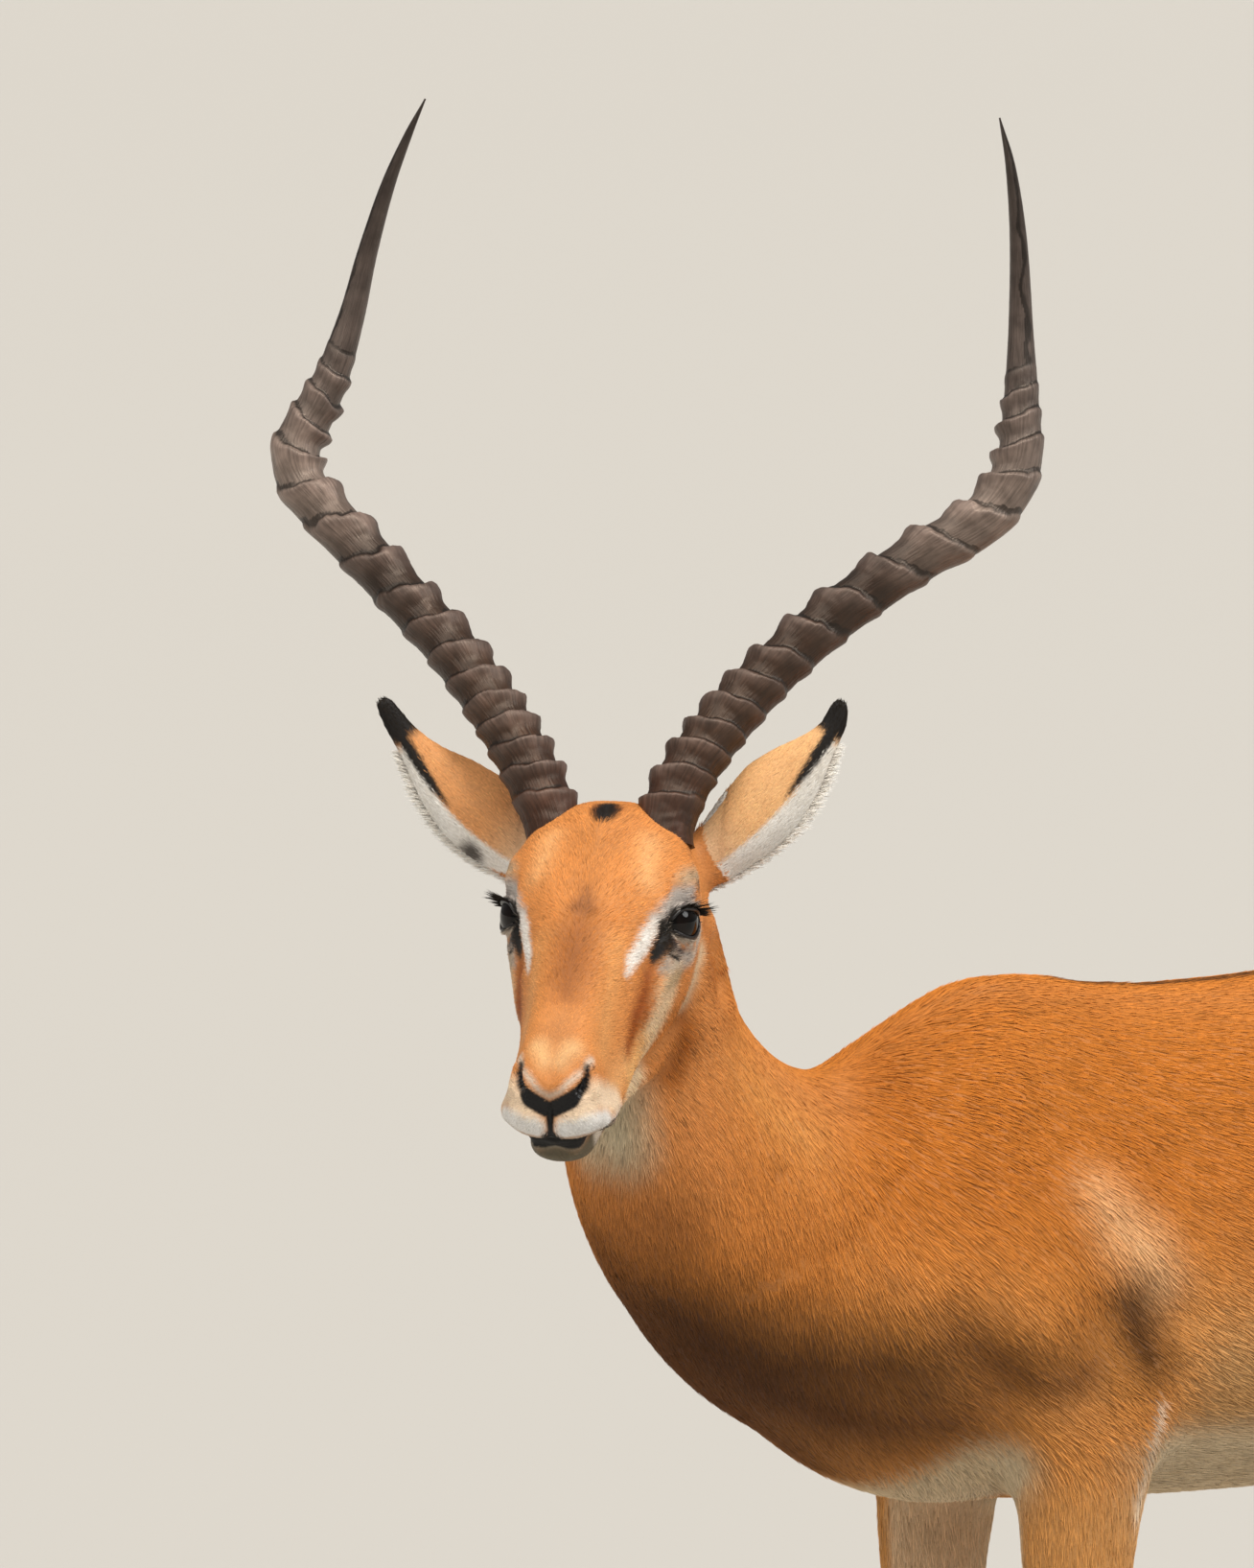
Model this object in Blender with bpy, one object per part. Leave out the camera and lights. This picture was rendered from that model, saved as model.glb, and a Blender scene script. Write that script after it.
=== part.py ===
"""An impala ram at life size, standing with its head turned to its left.

The flesh is one body fused from lofted pieces, then parted by thin cuts into the
sub-parts a person would name. Horns, eyes and hooves are pieces of their own.
Everything is placed in the withers frame: X to the animal's left, Y back from the
withers, Z up from the ground. MIDDLE then moves the origin under the middle of the
bounding box.
"""

import math

import bmesh
import bpy
import numpy as np
from mathutils import Matrix, Vector

# ---------------------------------------------------------------- driving sizes, metres
MIDDLE = Vector((-0.0315, 0.135, 0.0))
CUT_GAP = 0.0006
MEETING_GAP = 0.0004
FLESH_VOXEL = 0.006
# Triangles allowed to trunk and neck, head, shanks and tail.
FLESH_TRIANGLES = (1500, 1500, 1080, 90)
RELAX_PASSES = 14

HEAD_CENTRE = Vector((0.060, -0.316, 0.897))
HEAD_TURN = math.radians(45.5)
HEAD_DROP = math.radians(12.5)
HEAD_ROLL = math.radians(1.2)

EYE_RADIUS = 0.0180
EYE_SEAT = (0.000, 0.0435, 0.001)

HORN_BASE = (-0.050, 0.034, 0.052)
HORN_RADIUS = 0.0200
HORN_RIDGES = 17
RIDGE_SPACING = (0.0150, 0.0100)
RIDGE_HEIGHT = 0.0026
# How far the horn is from round: its long side lies front to back.
HORN_FLATNESS = 0.04

EAR_WALL = 0.0042
# How far round the ear's cup goes on each side of its ridge, in radians.
EAR_WRAP = 1.45

CORONET_HEIGHT = 0.034
CORONET_SLOPE = 0.30
HOOF_LENGTH = 0.060
HOOF_WIDTH = 0.0195
# The hoof's toe in front of the leg's middle, and how far its toe and heel lean in
# from sole to coronet, as shares of its length.
TOE_SHARE = 0.62
TOE_SLOPE = 0.30
HEEL_SLOPE = 0.04
CLAW_GAP = 0.0016

# Trunk sections: back from withers, top, bottom, half width, height of widest level,
# power of the upper half, power of the lower half (2 is an ellipse).
TRUNK = [
    (-0.205, 0.705, 0.635, 0.030, 0.665, 2.0, 2.0),
    (-0.185, 0.735, 0.600, 0.058, 0.665, 2.0, 2.0),
    (-0.150, 0.765, 0.558, 0.084, 0.665, 2.0, 2.0),
    (-0.100, 0.797, 0.527, 0.099, 0.665, 1.9, 2.0),
    (-0.045, 0.828, 0.512, 0.105, 0.660, 1.7, 2.0),
    (0.000, 0.843, 0.512, 0.108, 0.655, 1.6, 2.0),
    (0.040, 0.843, 0.510, 0.110, 0.650, 1.6, 2.0),
    (0.095, 0.833, 0.508, 0.114, 0.650, 1.7, 2.1),
    (0.160, 0.831, 0.507, 0.121, 0.650, 1.9, 2.1),
    (0.250, 0.834, 0.509, 0.128, 0.655, 2.0, 2.1),
    (0.340, 0.842, 0.520, 0.126, 0.665, 2.0, 2.1),
    (0.425, 0.851, 0.541, 0.116, 0.690, 2.0, 2.0),
    (0.500, 0.851, 0.566, 0.106, 0.715, 1.9, 2.0),
    (0.565, 0.836, 0.600, 0.094, 0.730, 1.9, 2.0),
    (0.615, 0.813, 0.635, 0.074, 0.735, 2.0, 2.0),
    (0.650, 0.782, 0.675, 0.045, 0.732, 2.0, 2.0),
]

# Neck sections: centre x, y, z, half width, half depth.
NECK = [
    (0.000, 0.020, 0.672, 0.088, 0.130),
    (0.000, -0.080, 0.670, 0.090, 0.129),
    (0.000, -0.150, 0.690, 0.081, 0.113),
    (0.003, -0.207, 0.738, 0.070, 0.089),
    (0.008, -0.241, 0.797, 0.058, 0.071),
    (0.016, -0.254, 0.850, 0.053, 0.066),
    (0.030, -0.266, 0.892, 0.047, 0.056),
]

# Skull and upper jaw sections in the head frame: forward, top, then half width and
# height of the upper side, middle side and lower side, and the bottom.
SKULL = [
    (-0.104, 0.012, 0.012, 0.008, 0.020, -0.018, 0.012, -0.050, -0.056),
    (-0.088, 0.036, 0.024, 0.030, 0.043, -0.010, 0.032, -0.062, -0.078),
    (-0.062, 0.053, 0.034, 0.046, 0.051, 0.004, 0.043, -0.066, -0.088),
    (-0.034, 0.059, 0.042, 0.050, 0.0585, 0.012, 0.047, -0.064, -0.092),
    (-0.006, 0.053, 0.046, 0.041, 0.0600, 0.008, 0.046, -0.062, -0.092),
    (0.020, 0.041, 0.039, 0.031, 0.0520, -0.008, 0.042, -0.064, -0.090),
    (0.045, 0.026, 0.030, 0.017, 0.044, -0.023, 0.037, -0.067, -0.088),
    (0.070, 0.011, 0.023, 0.004, 0.036, -0.032, 0.034, -0.072, -0.088),
    (0.095, -0.004, 0.020, -0.010, 0.031, -0.042, 0.0345, -0.076, -0.089),
    (0.120, -0.019, 0.019, -0.024, 0.030, -0.054, 0.0340, -0.081, -0.091),
    (0.138, -0.030, 0.020, -0.035, 0.032, -0.064, 0.0325, -0.084, -0.093),
    (0.152, -0.040, 0.018, -0.044, 0.028, -0.068, 0.0240, -0.085, -0.092),
    (0.162, -0.053, 0.011, -0.056, 0.017, -0.068, 0.012, -0.081, -0.085),
]

# Lower jaw sections in the head frame: forward, half width, top, bottom.
JAW = [
    (-0.060, 0.030, -0.040, -0.084),
    (-0.035, 0.042, -0.040, -0.104),
    (0.000, 0.039, -0.060, -0.107),
    (0.040, 0.029, -0.075, -0.104),
    (0.080, 0.025, -0.082, -0.105),
    (0.110, 0.0225, -0.085, -0.110),
    (0.130, 0.0205, -0.087, -0.112),
    (0.145, 0.0140, -0.089, -0.105),
]

# Foreleg sections: height, back from withers, outward, half depth, half width.
FORELEG = [
    (0.740, -0.020, 0.060, 0.052, 0.030),
    (0.690, -0.020, 0.072, 0.078, 0.036),
    (0.630, 0.000, 0.079, 0.083, 0.038),
    (0.580, 0.024, 0.081, 0.066, 0.036),
    (0.535, 0.026, 0.078, 0.052, 0.031),
    (0.490, 0.023, 0.075, 0.0435, 0.0280),
    (0.430, 0.021, 0.073, 0.0335, 0.0240),
    (0.370, 0.018, 0.071, 0.0260, 0.0210),
    (0.320, 0.015, 0.069, 0.0235, 0.0215),
    (0.288, 0.013, 0.068, 0.0240, 0.0235),
    (0.258, 0.016, 0.068, 0.0195, 0.0190),
    (0.220, 0.017, 0.068, 0.0160, 0.0140),
    (0.165, 0.017, 0.068, 0.0150, 0.0132),
    (0.125, 0.018, 0.068, 0.0170, 0.0155),
    (0.103, 0.018, 0.068, 0.0200, 0.0185),
    (0.080, 0.010, 0.068, 0.0178, 0.0170),
    (0.057, -0.003, 0.068, 0.0178, 0.0172),
    (0.034, -0.010, 0.068, 0.0205, 0.0200),
    (0.018, -0.012, 0.068, 0.0205, 0.0200),
]

# Hind leg sections, in the same columns.
HINDLEG = [
    (0.790, 0.520, 0.050, 0.085, 0.036),
    (0.735, 0.530, 0.064, 0.114, 0.043),
    (0.670, 0.532, 0.074, 0.116, 0.045),
    (0.610, 0.525, 0.080, 0.108, 0.044),
    (0.560, 0.516, 0.083, 0.090, 0.040),
    (0.510, 0.524, 0.082, 0.068, 0.034),
    (0.460, 0.545, 0.080, 0.0480, 0.0285),
    (0.415, 0.568, 0.078, 0.0345, 0.0235),
    (0.378, 0.588, 0.077, 0.0310, 0.0205),
    (0.345, 0.600, 0.076, 0.0320, 0.0215),
    (0.310, 0.596, 0.076, 0.0265, 0.0205),
    (0.270, 0.589, 0.075, 0.0195, 0.0165),
    (0.210, 0.582, 0.074, 0.0170, 0.0140),
    (0.155, 0.577, 0.073, 0.0190, 0.0150),
    (0.128, 0.575, 0.073, 0.0195, 0.0165),
    (0.105, 0.572, 0.073, 0.0205, 0.0185),
    (0.082, 0.563, 0.073, 0.0180, 0.0170),
    (0.058, 0.550, 0.073, 0.0178, 0.0172),
    (0.034, 0.543, 0.073, 0.0205, 0.0200),
    (0.018, 0.541, 0.073, 0.0205, 0.0200),
]

# How far each leg stands behind the sections above: a small natural step.
STEP = {
    "foreleg_left": 0.007,
    "foreleg_right": -0.007,
    "hindleg_left": 0.022,
    "hindleg_right": -0.022,
}

# Tail sections: centre y, z, half width, half thickness.
TAIL = [
    (0.600, 0.815, 0.016, 0.014),
    (0.640, 0.806, 0.017, 0.014),
    (0.668, 0.780, 0.016, 0.013),
    (0.681, 0.725, 0.018, 0.014),
    (0.684, 0.660, 0.023, 0.016),
    (0.682, 0.600, 0.020, 0.014),
    (0.680, 0.565, 0.008, 0.007),
]

# Muscles and bony points that stand out of the lofts:
# centre x, y, z, then half sizes; each is built on both sides.
MUSCLES = [
    (0.050, -0.012, 0.722, 0.036, 0.060, 0.078),
    (0.080, 0.045, 0.655, 0.030, 0.055, 0.060),
    (0.074, -0.085, 0.640, 0.036, 0.050, 0.050),
    (0.083, 0.068, 0.585, 0.022, 0.022, 0.024),
    (0.066, 0.462, 0.780, 0.030, 0.045, 0.040),
    (0.064, 0.585, 0.690, 0.040, 0.060, 0.100),
    (0.080, 0.455, 0.580, 0.026, 0.042, 0.045),
    (0.076, 0.630, 0.362, 0.012, 0.016, 0.022),
]

# Male forms on the midline under the belly and between the thighs, in the same columns.
MALE_FORMS = [
    (0.0, 0.395, 0.537, 0.014, 0.050, 0.016),
    (0.0, 0.590, 0.585, 0.026, 0.028, 0.046),
]

# Horn centre lines from the base, in the turned head's level frame: outward, back,
# up, and the share of the base radius.
HORN_LEFT = [
    (-0.001, -0.006, -0.019, 1.03),
    (0.000, 0.000, -0.002, 1.00),
    (0.014, 0.022, 0.033, 0.95),
    (0.046, 0.058, 0.0765, 0.90),
    (0.088, 0.088, 0.117, 0.87),
    (0.135, 0.111, 0.151, 0.86),
    (0.166, 0.124, 0.169, 0.86),
    (0.183, 0.134, 0.187, 0.86),
    (0.191, 0.144, 0.209, 0.81),
    (0.190, 0.155, 0.242, 0.66),
    (0.1875, 0.166, 0.290, 0.48),
    (0.185, 0.171, 0.342, 0.34),
    (0.180, 0.172, 0.386, 0.20),
    (0.173, 0.172, 0.417, 0.03),
]
HORN_RIGHT = [
    (0.000, -0.006, -0.018, 1.03),
    (0.006, 0.000, -0.001, 1.00),
    (0.032, 0.022, 0.040, 0.95),
    (0.075, 0.060, 0.087, 0.90),
    (0.122, 0.090, 0.128, 0.87),
    (0.168, 0.113, 0.168, 0.86),
    (0.187, 0.124, 0.187, 0.85),
    (0.192, 0.134, 0.207, 0.84),
    (0.183, 0.144, 0.229, 0.75),
    (0.173, 0.152, 0.252, 0.63),
    (0.163, 0.162, 0.288, 0.50),
    (0.155, 0.169, 0.325, 0.39),
    (0.143, 0.172, 0.366, 0.28),
    (0.130, 0.172, 0.398, 0.16),
    (0.119, 0.172, 0.421, 0.03),
]

# Ear centre lines in the head frame: forward, outward, up.
EAR_LEFT = [
    (-0.062, 0.034, 0.009),
    (-0.072, 0.061, 0.027),
    (-0.081, 0.085, 0.051),
    (-0.091, 0.111, 0.077),
    (-0.099, 0.127, 0.096),
    (-0.104, 0.133, 0.113),
]
EAR_RIGHT = [
    (-0.064, 0.038, 0.006),
    (-0.077, 0.065, 0.019),
    (-0.086, 0.091, 0.037),
    (-0.094, 0.120, 0.060),
    (-0.100, 0.141, 0.082),
    (-0.104, 0.155, 0.102),
]
EAR_BACK_FACES = (0.88, 0.05, 0.46)

# Ear outline: share of the centre line, half width, depth of the cup.
EAR_OUTLINE = [
    (0.00, 0.016, 0.016),
    (0.18, 0.021, 0.019),
    (0.32, 0.0255, 0.021),
    (0.43, 0.0260, 0.019),
    (0.54, 0.0215, 0.015),
    (0.65, 0.0145, 0.010),
    (0.76, 0.0098, 0.006),
    (0.90, 0.0076, 0.004),
    (0.97, 0.0060, 0.003),
    (1.00, 0.0030, 0.002),
]

LEG_CUTS = {
    "foreleg": dict(inner=0.024, front=-0.098, back=0.112, height=0.532, outward=0.72, backward=-0.06),
    "hindleg": dict(inner=0.030, front=0.405, back=0.690, height=0.552, outward=0.50, backward=0.46),
}
# Planes that part the head, neck and tail: a point and the side kept.
THROAT_TO_POLL = ((-0.040, 0.0, -0.080), (0.88, 0.0, 0.474))
NECK_BASE = ((0.0, -0.125, 0.700), (0.0, -0.90, 0.43))
TAIL_ROOT = ((0.0, 0.656, 0.690), (0.0, 1.0, 0.0))

# Colour and roughness of each kind of sub-part, by the first word of its name.
RUFOUS = ((0.46, 0.19, 0.06), 0.85)
COLOURS = {
    "head": ((0.52, 0.24, 0.08), 0.85),
    "neck": RUFOUS,
    "trunk": RUFOUS,
    "tail": RUFOUS,
    "ear": RUFOUS,
    "foreleg": RUFOUS,
    "hindleg": RUFOUS,
    "horn": ((0.055, 0.042, 0.038), 0.55),
    "eye": ((0.010, 0.008, 0.007), 0.08),
    "hoof": ((0.020, 0.018, 0.016), 0.45),
}


# ---------------------------------------------------------------- the head's own frame
def head_matrix():
    """Columns: forward to the nose, to the animal's left, up; then the place."""
    heading = Vector((math.sin(HEAD_TURN), -math.cos(HEAD_TURN), 0.0))
    left = Vector((math.cos(HEAD_TURN), math.sin(HEAD_TURN), 0.0))
    sky = Vector((0.0, 0.0, 1.0))
    forward = heading * math.cos(HEAD_DROP) - sky * math.sin(HEAD_DROP)
    up = heading * math.sin(HEAD_DROP) + sky * math.cos(HEAD_DROP)
    tilted_left = left * math.cos(HEAD_ROLL) - up * math.sin(HEAD_ROLL)
    tilted_up = up * math.cos(HEAD_ROLL) + left * math.sin(HEAD_ROLL)
    turn = Matrix((forward, tilted_left, tilted_up)).transposed().to_4x4()
    return Matrix.Translation(HEAD_CENTRE) @ turn


HEAD = head_matrix()


def in_head(point, side=1):
    forward, out, up = point
    return HEAD @ Vector((forward, out * side, up))


# ---------------------------------------------------------------- loft tools
def between(before, here, there, after, t):
    """The point at share t from here to there, on a curve through all four."""
    return 0.5 * (
        2 * here
        + (there - before) * t
        + (2 * before - 5 * here + 4 * there - after) * t**2
        + (3 * here - before - 3 * there + after) * t**3
    )


def through(rows, count):
    """A smooth curve through a table's rows: count rows, evenly by row number."""
    rows = np.array(rows, float)
    padded = np.vstack([2 * rows[0] - rows[1], rows, 2 * rows[-1] - rows[-2]])
    at = np.linspace(0, len(rows) - 1, count)
    first = np.minimum(at.astype(int), len(rows) - 2)
    t = (at - first)[:, None]
    return between(*(padded[first + k] for k in range(4)), t)


def oval(count, half_width, up, down, up_power=2.0, down_power=2.0):
    """A section's outline: (side, height) for count points, counter-clockwise."""
    angle = np.linspace(0, 2 * math.pi, count, endpoint=False)
    cosine, sine = np.cos(angle), np.sin(angle)
    power = np.where(sine >= 0, 2 / up_power, 2 / down_power)
    height = np.where(sine >= 0, up, down)
    side = half_width * np.sign(cosine) * np.abs(cosine) ** power
    return side, height * np.sign(sine) * np.abs(sine) ** power


def skin_rings(name, rings):
    """A closed mesh over rings of equal counts, each end closed by one face."""
    rings = np.array(rings)
    count, sides = rings.shape[:2]
    points = [tuple(p) for p in rings.reshape(-1, 3)]
    faces = [tuple(range(sides))[::-1], tuple((count - 1) * sides + j for j in range(sides))]
    for j in range(sides):
        k = (j + 1) % sides
        for i in range(count - 1):
            a, b = i * sides, (i + 1) * sides
            faces.append((a + j, a + k, b + k, b + j))
    mesh = bpy.data.meshes.new(name)
    mesh.from_pydata(points, [], faces)
    shape = bmesh.new()
    shape.from_mesh(mesh)
    bmesh.ops.recalc_face_normals(shape, faces=shape.faces)
    shape.to_mesh(mesh)
    shape.free()
    return mesh


def placed(name, mesh, colour=None, smooth=True):
    """An object holding the mesh, with a material of its own where a colour is given."""
    part = bpy.data.objects.new(name, mesh)
    bpy.context.scene.collection.objects.link(part)
    if colour:
        mesh.materials.clear()
        mesh.materials.append(material(name, *COLOURS[colour]))
    if smooth:
        mesh.shade_smooth()
    return part


def material(name, colour, roughness):
    made = bpy.data.materials.new(name)
    made.use_nodes = True
    shader = made.node_tree.nodes["Principled BSDF"]
    shader.inputs["Base Color"].default_value = (*colour, 1.0)
    shader.inputs["Roughness"].default_value = roughness
    return made


def guide(name, mesh):
    """A helper that shapes another piece and isn't a piece itself."""
    helper = placed(name, mesh, smooth=False)
    helper.hide_render = True
    helper.display_type = "WIRE"
    return helper


# ---------------------------------------------------------------- the lofted pieces
def trunk_mesh():
    rings = []
    for y, top, bottom, half, level, up_power, down_power in through(TRUNK, 60):
        x, z = oval(36, half, top - level, level - bottom, up_power, down_power)
        rings.append(np.column_stack([x, np.full_like(x, y), level + z]))
    return skin_rings("trunk_loft", rings)


def neck_mesh():
    rows = through(NECK, 32)
    along = np.gradient(rows[:, :3], axis=0)
    rings = []
    for (x, y, z, half, depth), tangent in zip(rows, along):
        tangent = tangent / np.linalg.norm(tangent)
        side = np.cross((0, 0, 1.0), tangent)
        side /= np.linalg.norm(side)
        crest = np.cross(tangent, side)
        across, high = oval(32, half, depth, depth)
        rings.append(np.array([x, y, z]) + across[:, None] * side + high[:, None] * crest)
    return skin_rings("neck_loft", rings)


def half_section(top, widths, bottom, count):
    """A closed section of the head through the top, the side points and the bottom."""
    right = [(0.0, top), *widths, (0.0, bottom)]
    left = [(-w, h) for w, h in reversed(widths)]
    loop = np.array(right + left)
    around = np.vstack([loop[-1], loop, loop[:2]])
    steps = count // len(loop)
    points = [
        between(*around[i : i + 4], t) for i in range(len(loop)) for t in np.arange(steps) / steps
    ]
    return np.array(points)


def skull_mesh():
    rings = []
    for a, top, w1, h1, w2, h2, w3, h3, bottom in through(SKULL, 56):
        section = half_section(top, [(w1, h1), (w2, h2), (w3, h3)], bottom, 40)
        rings.append([in_head((a, w, h)) for w, h in section])
    return skin_rings("skull_loft", rings)


def jaw_mesh():
    rings = []
    for a, half, top, bottom in through(JAW, 30):
        level = (top + bottom) / 2
        side, height = oval(24, half, top - level, level - bottom, 2.4, 2.2)
        rings.append([in_head((a, w, level + h)) for w, h in zip(side, height)])
    return skin_rings("jaw_loft", rings)


def leg_mesh(name, sections, side):
    rings = []
    for z, y, out, depth, width in through(sections, 76):
        across, along = oval(20, width, depth, depth)
        x = side * out + across
        rings.append(np.column_stack([x, y + STEP[name] * fade(z) + along, np.full_like(x, z)]))
    return skin_rings(name + "_loft", rings)


def fade(z):
    """How much of a leg's step applies at height z: all below 0.35, none above 0.62."""
    share = min(max((0.62 - z) / 0.27, 0.0), 1.0)
    return share * share * (3 - 2 * share)


def tail_mesh():
    rows = through(TAIL, 26)
    along = np.gradient(rows[:, :2], axis=0)
    rings = []
    for (y, z, half, thick), tangent in zip(rows, along):
        tangent = tangent / np.linalg.norm(tangent)
        side, out = oval(16, half, thick, thick)
        rings.append(np.column_stack([side, y - tangent[1] * out, z + tangent[0] * out]))
    return skin_rings("tail_loft", rings)


def ellipsoid_mesh(centre, half_sizes):
    shape = bmesh.new()
    bmesh.ops.create_uvsphere(shape, u_segments=20, v_segments=12, radius=1.0)
    turn = Matrix.Diagonal((*half_sizes, 1.0))
    bmesh.ops.transform(shape, matrix=Matrix.Translation(centre) @ turn, verts=shape.verts)
    mesh = bpy.data.meshes.new("muscle")
    shape.to_mesh(mesh)
    shape.free()
    return mesh


def flesh_lofts():
    meshes = [trunk_mesh(), neck_mesh(), skull_mesh(), jaw_mesh(), tail_mesh()]
    meshes += [ellipsoid_mesh(form[:3], form[3:]) for form in MALE_FORMS]
    for side, word in ((1, "left"), (-1, "right")):
        meshes.append(leg_mesh("foreleg_" + word, FORELEG, side))
        meshes.append(leg_mesh("hindleg_" + word, HINDLEG, side))
        for x, y, z, *half_sizes in MUSCLES:
            step = STEP["hindleg_" + word] * fade(z) if y > 0.3 else 0.0
            meshes.append(ellipsoid_mesh((side * x, y + step, z), half_sizes))
    return meshes


# ---------------------------------------------------------------- fusing and relaxing
def joined(meshes, name):
    shape = bmesh.new()
    for mesh in meshes:
        shape.from_mesh(mesh)
        bpy.data.meshes.remove(mesh)
    whole = bpy.data.meshes.new(name)
    shape.to_mesh(whole)
    shape.free()
    return whole


def evaluated_mesh(part, name):
    graph = bpy.context.evaluated_depsgraph_get()
    mesh = bpy.data.meshes.new_from_object(part.evaluated_get(graph), depsgraph=graph)
    mesh.name = name
    return mesh


def fused(meshes, name, voxel):
    lofts = placed(name, joined(meshes, name))
    remesh = lofts.modifiers.new("fuse", "REMESH")
    remesh.mode = "VOXEL"
    remesh.voxel_size = voxel
    mesh = evaluated_mesh(lofts, name)
    bpy.data.objects.remove(lofts)
    return mesh


def points_of(mesh):
    points = np.empty(len(mesh.vertices) * 3, np.float32)
    mesh.vertices.foreach_get("co", points)
    return points.reshape(-1, 3).astype(float)


def softness(points):
    """How much each point relaxes: 1 where muscles blend, little on face and shanks."""
    low = np.clip((points[:, 2] - 0.40) / 0.12, 0, 1)
    to_head = np.array(HEAD.inverted().to_3x3()), np.array(HEAD.inverted().translation)
    forward = points @ to_head[0].T + to_head[1]
    face = np.clip((forward[:, 0] + 0.075) / 0.045, 0, 1) * (points[:, 1] < -0.17)
    tail = np.clip((points[:, 1] - 0.650) / 0.02, 0, 1)
    return (0.10 + 0.90 * low) * (1 - 0.90 * face) * (1 - 0.9 * tail)


def relaxed(mesh, passes, weight):
    """Moves each vertex towards its neighbours' mean, passes times, by its weight."""
    points = points_of(mesh)
    ends = np.empty(len(mesh.edges) * 2, np.int32)
    mesh.edges.foreach_get("vertices", ends)
    a, b = ends.reshape(-1, 2).T
    count = np.bincount(a, minlength=len(points)) + np.bincount(b, minlength=len(points))
    for _ in range(passes):
        total = np.empty_like(points)
        for k in range(3):
            total[:, k] = np.bincount(a, points[b, k], len(points))
            total[:, k] += np.bincount(b, points[a, k], len(points))
        points += 0.5 * weight[:, None] * (total / count[:, None] - points)
    mesh.vertices.foreach_set("co", points.astype(np.float32).ravel())
    mesh.update()
    return mesh


def zone_of(points):
    """The thinning zone of each point: 0 trunk and neck, 1 head, 2 shanks, 3 tail."""
    throat = np.array(in_head(THROAT_TO_POLL[0]))
    to_face = np.array(HEAD.to_3x3() @ Vector(THROAT_TO_POLL[1]))
    head = (points - throat) @ to_face > -0.01
    shank = points[:, 2] < 0.50
    tail = points[:, 1] > TAIL_ROOT[0][1] - 0.005
    return np.select([head, shank, tail], [1, 2, 3], 0)


def thinned(mesh, budgets):
    """The mesh with about the triangles each zone is allowed, zone by zone."""
    for zone, budget in enumerate(budgets):
        part = placed("thinning", mesh, smooth=False)
        chosen = zone_of(points_of(mesh)) == zone
        part.vertex_groups.clear()
        group = part.vertex_groups.new(name="zone")
        for members, weight in ((chosen, 1.0), (~chosen, 0.0)):
            group.add([int(i) for i in np.flatnonzero(members)], weight, "REPLACE")
        here = sum(len(f.vertices) - 2 for f in mesh.polygons if chosen[f.vertices[0]])
        total = sum(len(f.vertices) - 2 for f in mesh.polygons)
        part.modifiers.new("triangles", "TRIANGULATE")
        thin = part.modifiers.new("thin", "DECIMATE")
        thin.ratio = (total - here + budget) / total
        thin.vertex_group = "zone"
        made = evaluated_mesh(part, "flesh")
        bpy.data.objects.remove(part)
        mesh = made
    return mesh


# ---------------------------------------------------------------- parting the flesh
def block(name, corners):
    """A cutter from eight corners: four below, then four above, in the same turn."""
    return guide(name, skin_rings(name, [corners[:4], corners[4:]]))


def beyond(name, point, normal, reach, half_width, gap):
    """A block on the side of a plane that normal points to, gap further out than it."""
    turn = Vector(normal).to_track_quat("Z", "Y").to_matrix().to_4x4()
    place = Matrix.Translation(point) @ turn
    low, high = -gap, reach
    square = [(-1, -1), (1, -1), (1, 1), (-1, 1)]
    return block(
        name,
        [place @ Vector((x * half_width, y * half_width, z)) for z in (low, high) for x, y in square],
    )


def leg_block(name, cut, side, gap):
    """A block under a plane that rises outward and backward from the trunk's underside."""
    inner, front, back = cut["inner"] - gap, cut["front"] - gap, cut["back"] + gap
    foot = []
    top = []
    for x, y in ((inner, front), (0.30, front), (0.30, back), (inner, back)):
        rise = (x - inner) * cut["outward"] + (y - front) * cut["backward"]
        foot.append((side * x, y, 0.0))
        top.append((side * x, y, cut["height"] + gap + rise))
    return block(name, foot + top)


def boolean(mesh, name, steps):
    """The mesh after a list of (operation, cutter) Booleans."""
    part = placed(name, mesh, smooth=False)
    for operation, cutter in steps:
        cut = part.modifiers.new(cutter.name, "BOOLEAN")
        cut.operation = operation
        cut.solver = "EXACT"
        cut.object = cutter
    made = evaluated_mesh(part, name)
    bpy.data.objects.remove(part)
    return made


def grown(mesh, distance, name):
    """A copy moved out along its normals, which leaves the gap where pieces meet."""
    copy = mesh.copy()
    copy.name = name
    points = points_of(copy)
    normals = np.empty(len(copy.vertices) * 3, np.float32)
    copy.vertices.foreach_get("normal", normals)
    points += normals.reshape(-1, 3) * distance
    copy.vertices.foreach_set("co", points.astype(np.float32).ravel())
    copy.update()
    return guide(name, copy)


# ---------------------------------------------------------------- horns, ears, eyes, hooves
def level_head_frame(side):
    """Outward, back and up of the turned head when level, as world directions."""
    out = Vector((math.cos(HEAD_TURN), math.sin(HEAD_TURN), 0.0)) * side
    back = Vector((-math.sin(HEAD_TURN), math.cos(HEAD_TURN), 0.0))
    return out, back, Vector((0.0, 0.0, 1.0))


def heading_at(share, share_at, line, reach):
    """The unit direction of a line at a share of its length, over reach to both sides."""
    ends = np.clip((share - reach, share + reach), 0, 1)
    start, end = ([np.interp(e, share_at, c) for c in line.T] for e in ends)
    run = np.array(end) - np.array(start)
    return run / np.linalg.norm(run)


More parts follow.
